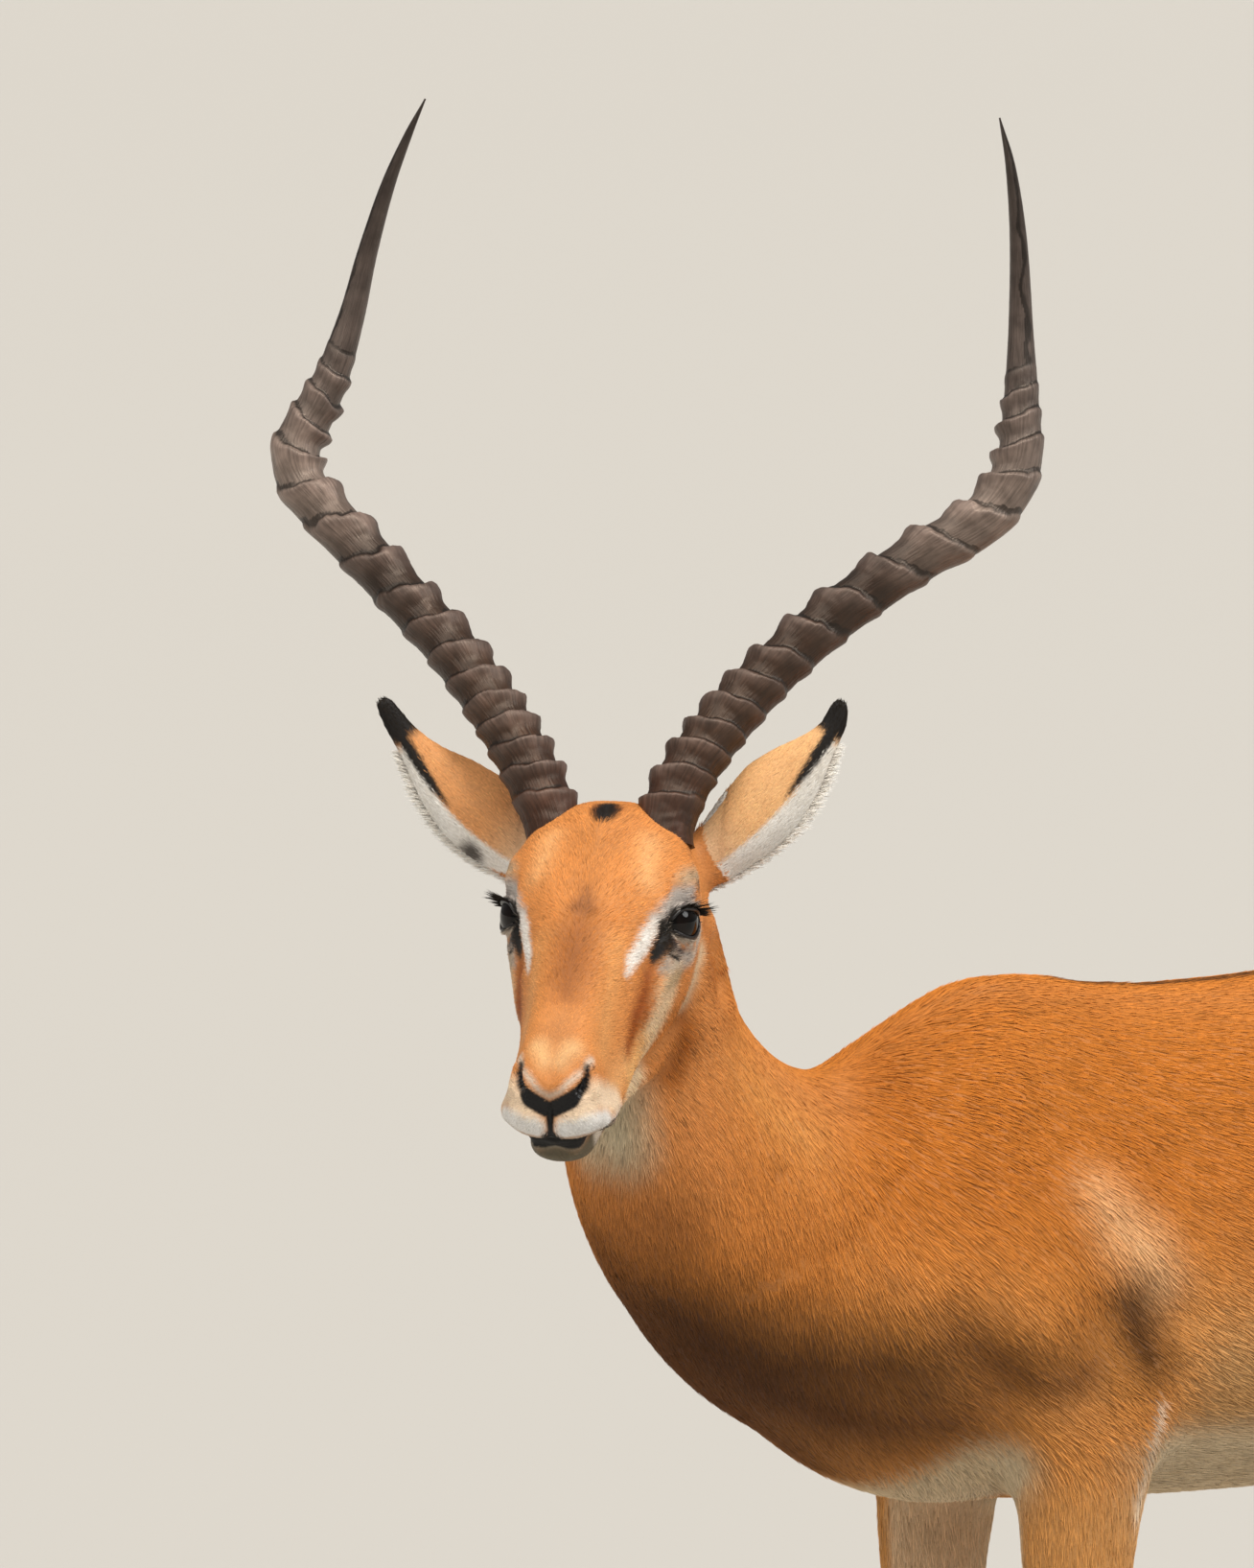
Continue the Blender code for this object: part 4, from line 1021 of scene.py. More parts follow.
# Forms of the face in the head frame, on both sides: height, then a path with widths.
FACE_FORMS = from_mm([
    (1.8, [(-12, 55, 27, 7), (10, 50, 24, 7), (26, 44, 16, 5)]),
    (-2, [(36, 44, -6, 5), (50, 40, -12, 6)]),
    (1.4, [(0, 60, -18, 5), (30, 47, -27, 5), (60, 38, -40, 6)]),
    (-1.6, [(60, 33, -52, 9), (90, 33, -60, 8)]),
    (-1.6, [(-34, 52, 30, 10), (-46, 50, 10, 12)]),
    (1.2, [(20, 20, 40, 12), (50, 12, 22, 10)]),
    (4.4, [(-28, 0, 60, 22), (-46, 0, 58, 22)]),
    (-1, [(-6, 18, 54, 12), (14, 26, 42, 10)]),
    (-0.7, [(0, 52, 29.5, 1.2), (-10, 55.5, 27.5, 1.2)]),
    (-0.6, [(4, 50, 33.5, 1), (-6, 53.5, 32.5, 1)]),
    (-1.4, [(28, 48, -10.5, 1.4), (20, 52, -16.5, 1.2)]),
    (1.6, [(144, 24.5, -47, 4), (149, 27, -56, 4.5)]),
    (1.2, [(154, 11, -51, 5), (158, 0, -54, 4)]),
    (2.2, [(160, 10, -76, 6), (154, 21, -75, 6)]),
    (1.4, [(140, 30, -77, 6), (120, 34, -78, 5)]),
    (-5, [(147, 21, -44, 1), (149, 20.5, -50, 1.8), (152, 18, -56, 2.6)]),
    (3.4, [(96, 30, -88, 6), (124, 29, -89, 6)]),
    (1.4, [(80, 31, -83, 16), (40, 30, -85, 18), (16, 34, -80, 16)]),
    (3, [(-66, 58, 4, 10), (-58, 62, -12, 8)]),
    (-7, [(-58, 66, -36, 12), (-62, 66, -56, 12)]),
    (-1.4, [(165, 0, -66, 1), (164, 0, -86, 0.9)]),
    (-4, [(158, 0, -90, 1.4), (149.4, 13.4, -89.2, 1.3), (144.1, 23.6, -86.6, 1.1),
          (140.2, 32.8, -82.2, 1), (120.7, 34.9, -81.8, 0.9), (102, 34.5, -81.5, 0.6)]),
    (1.2, [(150, 0, -95.5, 3), (142, 16, -93.5, 2.8)]),
])

# Forms of the body in the withers frame, in the same way.
BODY_FORMS = from_mm([
    (6, [(100, 30, 700, 26), (108, 62, 655, 26)]),
    (-8, [(106, 20, 622, 20), (113, 66, 636, 20)]),
    (-6, [(106, -40, 602, 20), (114, 0, 592, 18)]),
    (-4, [(90, -120, 622, 24), (108, -80, 630, 24)]),
    (-4, [(110, 100, 730, 22), (113, 100, 640, 22)]),
    (-1.4, [(45, -80, 810, 36), (85, -125, 690, 36)]),
    (3, [(40, -10, 830, 18), (85, -55, 710, 22)]),
    (3, [(52, -262, 800, 20), (60, -225, 740, 22), (60, -190, 670, 22)]),
    (-3, [(68, -215, 800, 20), (82, -165, 720, 20)]),
    (4.5, [(90, -60, 665, 26), (98, -30, 640, 24)]),
    (-4, [(110, 390, 700, 32), (112, 395, 610, 26)]),
    (3, [(80, 445, 800, 24), (108, 500, 740, 26)]),
    (-3.5, [(92, 600, 700, 22), (108, 560, 610, 22)]),
    (-2.4, [(94, 600, 470, 10), (88, 618, 400, 10)]),
    (-2, [(88, 20, 460, 12), (84, 16, 380, 10)]),
    (-1.4, [(84, 26, 240, 4), (84, 26, 130, 4)]),
    (-1.6, [(90, 592, 290, 4), (90, 584, 160, 4)]),
])


def form_heights(points, forms):
    """How far forms on a surface lift each point: whole inside a path, fading beside it."""
    lift = np.zeros(len(points))
    for height, path in forms:
        laid = fitted(path, points)
        width = laid[:, 3].max()
        near = close_to(points, laid, 3.5 * width + 0.002)
        past = np.maximum(gap_to(points[near], laid) + 0.6 * width, 0)
        lift[near] += height * np.exp(-((past / (0.8 * width + 0.0006)) ** 2))
    return lift


class Eye:
    """The lids' opening on the eyeball, in the head frame of the left side."""

    outward = unit((EYE_FRONT_CORNER + EYE_REAR_CORNER) / 2 - EYE_SEAT)
    rearward = EYE_REAR_CORNER - EYE_FRONT_CORNER
    rearward = unit(rearward - outward * (rearward @ outward))
    upward = np.cross(outward, rearward)

    @classmethod
    def lid_edges(cls, along):
        """Heights of the upper and the lower lid's edge above the line of the corners."""
        span = np.clip((along + LID_FORWARD) / LID_HALF_LENGTH, -1, 1)
        arch = np.maximum(1 - span**2, 0)
        corners = 0.0035 - 0.0050 * span
        upper = corners + LID_UPPER * arch**0.72 * (1 - 0.25 * span)
        lower = corners - LID_LOWER * arch**0.80 * (1 - 0.12 * span)
        return upper, lower

    @classmethod
    def outside(cls, points):
        """How far points lie outside the opening, along the ball, and where on it they are."""
        gap = points - EYE_SEAT
        ahead = gap @ cls.outward
        along = EYE_RADIUS * np.arctan2(gap @ cls.rearward, ahead)
        height = EYE_RADIUS * np.arctan2(gap @ cls.upward, ahead)
        upper, lower = cls.lid_edges(along)
        beyond = np.abs(along + LID_FORWARD) - LID_HALF_LENGTH
        within = np.maximum(height - upper, lower - height)
        past = np.hypot(np.maximum(beyond, 0), np.maximum(within, 0))
        return np.where(beyond < 0, within, past), along, height, ahead

    @classmethod
    def place(cls, along, height, radius):
        """Points at angles along and up the ball, in metres of arc, at a radius."""
        alpha, beta = along / EYE_RADIUS, height / EYE_RADIUS
        aim = cls.outward + np.tan(alpha)[:, None] * cls.rearward + np.tan(beta)[:, None] * cls.upward
        return EYE_SEAT + unit(aim) * np.asarray(radius).reshape(-1, 1)


def lids_over_eyes(local):
    """Moves the skin at the eyes: onto the ball as lids, and under it inside the opening."""
    both = folded(local, 1)
    gap = both - EYE_SEAT
    reach = np.linalg.norm(gap, axis=1)
    near = (reach < SOCKET_REACH) & (gap @ Eye.outward > 0.004)
    outside, _along, height, _ahead = Eye.outside(both[near])
    lid = EYE_RADIUS + LID_THICKNESS
    fold = np.exp(-(((outside - FOLD_AT) / FOLD_WIDTH) ** 2))
    fold = fold * np.where(height > 0, UPPER_FOLD, LOWER_FOLD)
    roll = np.exp(-(((outside - ROLL_AT) / ROLL_WIDTH) ** 2)) * ROLL_HEIGHT
    over = lid + (reach[near] - lid) * smooth((outside - 0.001) / 0.011) - fold + roll
    under = EYE_RADIUS - SOCKET_DEPTH
    wanted = under + (over - under) * smooth(outside / 0.0012 + 0.9)
    moved = EYE_SEAT + gap[near] / reach[near][:, None] * wanted[:, None]
    moved[:, 1] *= np.sign(local[near][:, 1])
    local = local.copy()
    local[near] = moved
    return local


def coat_depth(points):
    """How deep the coat is: from the solid outline down to the skin."""
    forward, out, _up = from_head(points).T
    on_head = smooth((forward + 0.12) / 0.06) * near_head(points)
    depth = SHANK_DEPTH + BODY_DEPTH * smooth((points[:, 2] - 0.42) / 0.15)
    depth = depth * (1 - on_head) + HEAD_DEPTH * on_head
    ear = (np.abs(out) > 0.064) & (forward < -0.045) & (points[:, 2] > EAR_LEVEL)
    return np.where(ear, EAR_DEPTH, depth)


def tuck_under_hooves(points):
    """Draws the legs' ends in under the coronets, so that the hooves stand round them."""
    for _name, _kind, _side, foot in feet():
        near = (np.abs(points[:, 0] - foot[0]) < 0.04) & (np.abs(points[:, 1] - foot[1]) < 0.05)
        near &= points[:, 2] < 0.06
        rim = CORONET_HEIGHT - CORONET_SLOPE * (points[near, 1] - foot[1])
        inward = ANKLE_TUCK * smooth((rim + 0.002 - points[near, 2]) / 0.006)
        points[near, :2] += (foot[:2] - points[near, :2]) * inward[:, None]
    return points


def feet():
    """Each leg's name, kind, side and the middle of its foot on the ground."""
    for kind, sections in (("foreleg", FORELEG), ("hindleg", HINDLEG)):
        for word, side in SIDES:
            name = f"{kind}_{word}"
            y = sections[-2][1] + STEP[name]
            yield name, kind, side, np.array((side * sections[-2][2], y, 0.0))


def squared(points):
    """Points folded onto the left side, with the step of each pair of legs taken back."""
    both = folded(points, 0)
    for name, kind, side, _foot in feet():
        own = (points[:, 0] * side > 0) & ((points[:, 1] < LEG_SPLIT) == (kind == "foreleg"))
        both[own, 1] -= STEP[name] * leg_fade(points[own, 2])
    return both


def skin_mesh():
    body = fused(body_shapes(), "body", BODY_VOXEL)
    head = fused(head_shapes(), "head", HEAD_VOXEL)
    for mesh, passes in ((body, BODY_RELAX), (head, HEAD_RELAX)):
        points = points_of(mesh)
        set_points(mesh, relaxed(points, edge_ends(mesh), passes, softness(points)))
    whole = refine(joined_skin(body, head))
    bmesh.ops.recalc_face_normals(whole, faces=whole.faces)
    skin = bpy.data.meshes.new("skin")
    whole.to_mesh(skin)
    whole.free()
    bpy.data.meshes.remove(body)
    bpy.data.meshes.remove(head)

    points = points_of(skin)
    from_join = np.abs((from_head(points) - JOIN_POINT) @ JOIN_NORMAL)
    near_join = smooth(1 - from_join / SEAM_REACH) * near_head(points)
    local = from_head(points)
    face = (local[:, 0] > -0.03) & (near_head(points) > 0.5)
    root = smooth(1 - gap_to(folded(points, 0), NECK_ROOT) / ROOT_REACH)
    weight = np.maximum(np.maximum(near_join, FACE_SHARE * face), root)
    points = relaxed(points, edge_ends(skin), SEAM_RELAX, weight)
    set_points(skin, points)
    normals = points_of(skin, "normal")
    local = from_head(points)
    on_head = (local[:, 0] > FACE_FORMS_FROM) & (near_head(points) > 0.5)
    lift = np.zeros(len(points))
    lift[on_head] = form_heights(folded(local[on_head], 1), FACE_FORMS)
    lift[~on_head] = form_heights(folded(points[~on_head], 0), BODY_FORMS)
    points = points + normals * (lift - coat_depth(points))[:, None]
    weight = LAST_SHARE * softness(points) * ~on_head
    points = relaxed(points, edge_ends(skin), LAST_RELAX, weight)
    local = lids_over_eyes(from_head(points))
    points = np.where(on_head[:, None], in_head(local), points)
    set_points(skin, tuck_under_hooves(points))
    return skin


# ---------------------------------------------------------------- colours of the hair
def in_ear(points):
    """Which points lie on the ear of each side, clear of the skull."""
    forward, out, up = from_head(points).T
    free = (np.abs(out) > 0.050) & (forward < -0.050) & (up > 0.004) & (points[:, 2] > EAR_LEVEL)
    free &= np.abs(out) + 0.6 * up > 0.072
    return {word: free & (out * side > 0) for word, side in SIDES}


def ear_colours(ear, points, normals):
    """Rufous back, painted paler on the left ear as light falling on it, black finger tip and line, white
    lower edge and a pale inside.
    """
    share, across, _front, _depth = ear.places(points)
    outer = (normals * ear.at(share, ear.fronts)).sum(1) > -0.15
    # The left ear's back is painted paler than the right's, as painted light falling on it.
    rufous = EAR_RUFOUS if ear.word == "right" else EAR_PAINTED_LIGHT
    colours = blend(EAR_BASE, rufous, smooth((share - 0.10) / 0.26))
    inside = blend(EAR_INSIDE, HAIR_WHITE, smooth((np.abs(across) - 0.25) / 0.4))
    colours = np.where(outer[:, None], colours, inside)
    lower_edge = smooth((across - 0.42 + 0.25 * smooth((share - 0.5) / 0.2)) / 0.10)
    colours = blend(colours, HAIR_WHITE, lower_edge * smooth((0.78 - share) / 0.06))
    half = 0.05 + 1.3 * np.clip(share - 0.46, 0, 1)
    line = smooth((half - np.abs(across - 0.40 + 0.6 * (share - 0.46))) / 0.12)
    line *= smooth((share - 0.44) / 0.06) * outer
    tip = smooth((share - 0.74) / 0.05)
    colours = blend(colours, HAIR_BLACK, np.maximum(line, tip))
    if ear.word == "right":
        spot = smooth(1.4 - np.hypot((share - 0.32) / 0.05, (across - 0.85) / 0.25))
        colours = blend(colours, linear("2E201A"), spot * 0.9)
    return colours


def cloud(points, size, seed):
    """Smooth random values from -1 to 1 that change over about size metres."""
    lattice = np.random.default_rng(seed).uniform(-1, 1, (32, 32, 32))
    at = points / size
    base = np.floor(at).astype(int)
    part = smooth(at - base)
    value = np.zeros(len(points))
    for corner in itertools.product((0, 1), repeat=3):
        weight = np.prod(np.where(corner, part, 1 - part), axis=1)
        value += weight * lattice[tuple(((base + corner) % 32).T)]
    return value


def painted(colours, points, strokes):
    """Lays each stroke's colour over the colours of the points near its path."""
    for tone, edge, path in strokes:
        near = close_to(points, path, path[:, 3].max() + edge)
        mask = smooth(0.5 - gap_to(points[near], path) / edge)
        colours[near] = blend(colours[near], tone, mask)
    return colours


class Markings:
    """The coat's markings, laid on one skin."""

    def __init__(self, skin_points):
        face = folded(from_head(skin_points[near_head(skin_points) > 0.3]), 1)
        body = squared(skin_points)
        self.fields, self.face, self.body, self.dark = (
            [(linear(tone), edge, fitted(path, surface, step)) for tone, edge, path in strokes]
            for strokes, surface, step in (
                (FACE_FIELDS, face, 0.003),
                (FACE_STROKES, face, 0.003),
                (BODY_STROKES, body, 0.02),
                (DARK_STROKES, body, 0.01),
            )
        )
        self.nose = [np.array(path) * (0, 1, 1, 1) for path in (NOSE_PAD, NOSE_GROOVE)]
        self.lip = fitted(LOWER_LIP, face)

    def bare(self, local):
        """1 on the bare black nose, 0 on hair."""
        front = folded(local, 1) * (0, 1, 1)
        gap = np.minimum(*(gap_to(front, path) for path in self.nose))
        return smooth(0.5 - gap / 0.0016) * (local[:, 0] > 0.140)

    def on_face(self, local):
        both = folded(local, 1)
        colours = painted(np.tile(HEAD_RUFOUS, (len(local), 1)), both, self.fields)
        near_eye = np.linalg.norm(both - EYE_SEAT, axis=1) < 0.035
        outside, along, height, _ahead = Eye.outside(both)
        ring = smooth((0.0105 - outside) / 0.0035) * near_eye
        above = smooth((height - 0.0020) / 0.004)[:, None]
        colours = blend(colours, np.array(LID_GREY) * above + np.array(UNDER_EYE) * (1 - above), ring)
        colours = painted(colours, both, self.face)
        width = np.where(height > 0.0020, 0.0024, 0.0014) + 0.0030 * smooth((-along - 0.010) / 0.006)
        colours = blend(colours, HAIR_BLACK, smooth(1.5 - outside / width) * near_eye)
        return blend(colours, linear("0E0D0E"), self.bare(local))

    def colours(self, points, normals):
        """Linear colour of the hair that grows at each point of the skin."""
        local = from_head(points)
        on_head = head_share(points)
        colours = self.on_body(points, normals)
        some = on_head > 0
        colours[some] = blend(colours[some], self.on_face(local[some]), on_head[some])
        for word, chosen in in_ear(points).items():
            if chosen.any():
                colours[chosen] = ear_colours(EARS[word], points[chosen], normals[chosen])
        tail = (points[:, 1] > 0.648) & (np.abs(points[:, 0]) < 0.034) & (points[:, 2] > 0.54)
        tail &= (points[:, 1] > 0.662) | (points[:, 2] > 0.795)
        if tail.any():
            colours[tail] = tail_colours(points[tail], normals[tail])
        mottle = 0.055 * cloud(points, 0.045, 1) + 0.050 * cloud(points, 0.014, 2)
        mottle += 0.060 * cloud(points, 0.005, 3) * (1 - 0.4 * on_head)
        return np.clip(colours * (1 + mottle[:, None] * (0.8, 1.0, 1.25)), 0, 1)

    def on_body(self, points, normals):
        x, y, z = points.T
        side = np.sign(x)
        both = squared(points)
        colours = SIDE_RUFOUS
        for tone, share in (
            (BACK_RUFOUS, smooth((z - 0.600) / 0.130)),
            (FLANK_FAWN, smooth((0.665 - z) / 0.075) * smooth((y - 0.060) / 0.06)),
            (NECK_RUFOUS, smooth((-0.10 - y) / 0.08) * smooth((z - 0.62) / 0.10)),
            (LEG_FAWN, smooth((0.560 - z) / 0.060)),
            (SHANK_BROWN, smooth((0.40 - z) / 0.12)),
        ):
            colours = blend(colours, tone, share)
        colours = painted(colours, both, self.body)
        inner = smooth((-normals[:, 0] * side - 0.05) / 0.45) * smooth((0.610 - z) / 0.05)
        inner *= smooth((z - 0.10) / 0.20) * (np.abs(x) > 0.02)
        colours = blend(colours, BELLY_WHITE, inner * 0.55)
        underside = smooth((-normals[:, 2] - 0.05) / 0.35) * smooth((0.575 - z) / 0.030)
        belly = underside * smooth((y - 0.010) / 0.05) * smooth((0.47 - y) / 0.05)
        brisket = smooth(1 - gap_to(both, BRISKET_WHITE) / 0.030)
        # Painted shade: where the belly and brisket face down, they take a darker cream than the belly's
        # white.
        colours = blend(colours, BELLY_PAINTED_SHADE, np.maximum(belly, brisket * underside))
        groin = smooth((0.62 - z) / 0.05) * smooth((0.07 - np.abs(x)) / 0.02) * (y > 0.38)
        colours = blend(colours, BELLY_WHITE, groin)
        rump = smooth(1 - (np.abs(x) - 0.030) / 0.020) * smooth((y - 0.596) / 0.02)
        colours = blend(colours, BELLY_WHITE, rump * smooth((0.80 - z) / 0.04) * (z > 0.5))
        return painted(colours, both, self.dark)


def tail_colours(points, normals):
    """Dark line down the tail's back, white edges and underside."""
    x, _y, z = points.T
    colours = np.tile(BACK_RUFOUS, (len(points), 1))
    colours = blend(colours, BELLY_WHITE, smooth((np.abs(x) - 0.007) / 0.006))
    colours = blend(colours, BELLY_WHITE, smooth((-normals[:, 1] - 0.1) / 0.4))
    line = smooth((0.010 - np.abs(x)) / 0.005) * smooth((normals[:, 1] + 0.3) / 0.4)
    colours = blend(colours, HAIR_BLACK, line * smooth((z - 0.585) / 0.02))
    return blend(colours, BELLY_WHITE, smooth((0.60 - z) / 0.03))


def head_share(points):
    """1 on the head, 0 on the body, blended across the throat."""
    local = from_head(points)
    past = (local - THROAT) @ JOIN_NORMAL
    return smooth(past / 0.060 + 0.75) * near_head(points)


# ---------------------------------------------------------------- lie and length of hair
def hair_lie(points, normals):
    """The direction the hair lies at each point, along the skin."""
    _x, y, z = points.T
    shoulder = np.exp(-(((y - 0.01) / 0.09) ** 2 + ((z - 0.66) / 0.10) ** 2))
    under = smooth((-normals[:, 2] - 0.3) / 0.4) * smooth((z - 0.48) / 0.04)
    flow = np.tile((0.0, 1.0, -0.42), (len(points), 1))
    for run, share in (
        ((0.0, 0.30, -0.95), smooth((-0.02 - y) / 0.16)),
        ((0.0, 0.25, -1.0), smooth((y - 0.44) / 0.12)),
        ((0.0, 0.62, -0.78), shoulder),
        ((0.0, 0.05, -1.0), smooth((0.57 - z) / 0.06)),
        ((0.0, 1.0, 0.0), under * (y > 0.0)),
        ((0.0, 0.0, -1.0), smooth((y - 0.655) / 0.01)),
    ):
        flow = blend(flow, run, share)

    local = from_head(points)
    forward, out, up = local.T
    outward = np.sign(out)[:, None] * (0.0, 1.0, 0.0)
    apart = local - WHORL
    crown = smooth((0.060 - forward) / 0.020) * smooth((up + 0.020) / 0.02)
    on_face = (-1.0, 0.0, -0.15) + 0.35 * outward
    for run, share in (
        (
            unit(apart) + (-0.5, 0.0, 0.3),
            crown * smooth(1.2 - np.linalg.norm(apart, axis=1) / 0.06),
        ),
        ((-0.75, 0.0, -0.65), smooth((-0.015 - up) / 0.04) * smooth((0.10 - forward) / 0.06)),
        (
            (-0.5, 0.0, -0.7) + 0.5 * outward,
            smooth((-0.055 - up) / 0.02) * smooth((forward - 0.12) / 0.02),
        ),
    ):
        on_face = blend(on_face, run, share)
    flow = blend(flow, on_face @ HEAD_AXES, head_share(points))
    for word, chosen in in_ear(points).items():
        if chosen.any():
            share, *_rest = EARS[word].places(points[chosen])
            flow[chosen] = EARS[word].at(share, EARS[word].axes)
    flow = flow - normals * (flow * normals).sum(1, keepdims=True)
    return unit(flow)


def hair_length(points, looks):
    """Length of the hair at each point, in metres."""
    _x, y, z = points.T
    forward, _out, up = from_head(points).T
    length = np.full(len(points), looks.trunk_length)
    length = length + (looks.leg_length - length) * smooth((0.56 - z) / 0.20)
    length = length + (0.6 * looks.leg_length - length) * smooth((0.14 - z) / 0.08)
    neck = smooth((-0.10 - y) / 0.08) * (z > 0.6)
    length = length + (looks.neck_length - length) * neck
    muzzle = smooth((forward - 0.05) / 0.10)
    cheek = smooth((-0.02 - up) / 0.05) * (1 - muzzle)
    face = looks.face_length * (1 - 0.50 * muzzle) * (1 + 0.5 * cheek)
    length = length + (face - length) * head_share(points)
    for chosen in in_ear(points).values():
        length = np.where(chosen, looks.ear_length, length)
    on_tail = smooth((y - 0.660) / 0.006) * (z > 0.53)
    return length + (looks.tail_length - length) * on_tail


def hair_share(points, markings):
    """How much hair grows: none on eyes, nose, the lip's edge and under the coronets."""
    local = from_head(points)
    both = folded(local, 1)
    outside, _along, _height, ahead = Eye.outside(both)
    near_eye = (np.linalg.norm(both - EYE_SEAT, axis=1) < 0.040) & (ahead > 0)
    share = np.where(near_eye, smooth((outside - 0.0008) / 0.0016), 1.0)
    share = share * (1 - markings.bare(local))
    share = share * smooth(gap_to(both, markings.lip) / 0.002)
    for _name, _kind, _side, foot in feet():
        near = (np.abs(points[:, 0] - foot[0]) < 0.05) & (np.abs(points[:, 1] - foot[1]) < 0.06)
        rim = CORONET_HEIGHT - CORONET_SLOPE * (points[:, 1] - foot[1]) + 0.001
        share = np.where(near & (points[:, 2] < rim), 0.0, share)
    return share


def coat_zones(points):
    """The coat's pieces: which points of the skin each covers."""
    x, y, z = points.T
    local = from_head(points)
    head = ((local - THROAT) @ JOIN_NORMAL > 0) & (near_head(points) > 0.5)
    ears = in_ear(points)
    ear = ears["left"] | ears["right"]
    face = head & ~ear & (local[:, 0] > 0.030)
    brow = head & ~ear & ~face
    legs = (z < 0.535) & ((np.abs(x) > 0.035) | (z < 0.50))
    neck = ~head & ~ear & (y < -0.125 - 0.48 * (0.70 - z))
    tail = (y > 0.664) & (np.abs(x) < 0.034) & (z > 0.53)
    rest = ~(head | ear | legs | neck | tail)
    return {
        "tail": tail,
        "face": face,
        "brow": brow,
        "ears": ear,
        "neck": neck,
        "shoulders": rest & (y < 0.150),
        "flanks": rest & (y >= 0.150) & (y < 0.420),
        "rump": rest & (y >= 0.420),
        "forelegs": legs & (y < LEG_SPLIT),
        "hindlegs": legs & (y >= LEG_SPLIT),
    }


# How many times over the locks cover the skin in each zone.
COVER = {
    "tail": 1.6,
    "face": 1.6,
    "brow": 1.7,
    "ears": 1.3,
    "neck": 2.0,
    "shoulders": 1.7,
    "flanks": 1.3,
    "rump": 1.2,
    "forelegs": 1.1,
    "hindlegs": 1.0,
}


# ---------------------------------------------------------------- node helpers
def fill(node, inputs):
    """Gives inputs their values, or links them to sockets or to nodes' first outputs."""
    for name, value in inputs.items():
        if isinstance(value, bpy.types.Node):
            value = value.outputs[0]
        if isinstance(value, bpy.types.NodeSocket):
            node.id_data.links.new(value, node.inputs[name])
        else:
            node.inputs[name].default_value = value


def add_node(tree, kind, inputs=None, **settings):
    """Adds a node, sets its settings, and fills its inputs."""
    node = tree.nodes.new(kind)
    for name, value in settings.items():
        setattr(node, name, value)
    fill(node, inputs or {})
    return node


def spans(*values):
    """Inputs that map one span onto another: the value, then the ends of both spans."""
    return dict(zip(("Value", "From Min", "From Max", "To Min", "To Max"), values))


def grains(place, spacing, detail):
    """Inputs of a noise at a place, its lattice spaced in millimetres."""
    return {"Vector": place, "Scale": 1 / (spacing * MM), "Detail": detail}


def geometry_tree(name, sockets):
    """A Geometry Nodes tree with a mesh in, a mesh out and named inputs."""
    tree = bpy.data.node_groups.new(name, "GeometryNodeTree")
    tree.interface.new_socket("Geometry", in_out="INPUT", socket_type="NodeSocketGeometry")
    tree.interface.new_socket("Geometry", in_out="OUTPUT", socket_type="NodeSocketGeometry")
    for label, kind in sockets.items():
        tree.interface.new_socket(label, in_out="INPUT", socket_type="NodeSocket" + kind)
    return tree, tree.nodes.new("NodeGroupInput").outputs


def end_tree(tree, shape, made_of):
    """Ends a tree: makes instances real, sets the material and gives the mesh out."""
    real = add_node(tree, "GeometryNodeRealizeInstances", {"Geometry": shape})
    dressed = add_node(tree, "GeometryNodeSetMaterial", {"Geometry": real, "Material": made_of})
    add_node(tree, "NodeGroupOutput", {0: dressed})
    return tree


def run_tree(name, mesh, tree, values):
    """The plain mesh that a tree makes from a mesh, with its inputs set by identifier."""
    source = linked(name + "_source", mesh)
    modifier = source.modifiers.new(tree.name, "NODES")
    modifier.node_group = tree
    for item in tree.interface.items_tree:
        if item.in_out == "INPUT" and item.name in values:
            modifier[item.identifier] = values[item.name]
    made = evaluated_mesh(source, name)
    source.modifiers.remove(modifier)
    bpy.data.objects.remove(source)
    return made


# ---------------------------------------------------------------- locks of hair
def lock_shape(name, parts, curl, thickness=0.30):
    """A tapering three-sided lock of unit length and half width, rising with its curl."""
    rings = []
    for i in range(parts):
        share = i / parts
        half = (1 - share) ** 0.6
        rise = curl * share**2
        rings += [(-half, share, rise), (half, share, rise), (0.0, share, rise + thickness * 2 * half)]
    points = np.array(rings + [(0.0, 1.0, curl)])
    faces = [(0, 1, 2)]
    for i in range(parts - 1):
        a, b = 3 * i, 3 * i + 3
        faces += [(a + j, a + (j + 1) % 3, b + (j + 1) % 3, b + j) for j in range(3)]
    last, tip = 3 * (parts - 1), 3 * parts
    faces += [(last + j, last + (j + 1) % 3, tip) for j in range(3)]
    lock = linked(name, mesh_of([(points, faces)], name))
    lock.hide_render = True
    return lock


# What each lock takes from its point of the skin.
LOCK_VALUES = {
    "density": "FLOAT",
    "facing": "FLOAT_VECTOR",
    "lie": "FLOAT_VECTOR",
    "length": "FLOAT",
    "width": "FLOAT",
}
# Lowest and highest share drawn for a lock's turn, lift, length and half width.
LOCK_DRAWS = ((-1.0, 1.0), (0.4, 1.6), (0.65, 1.25), (0.35, 0.65))


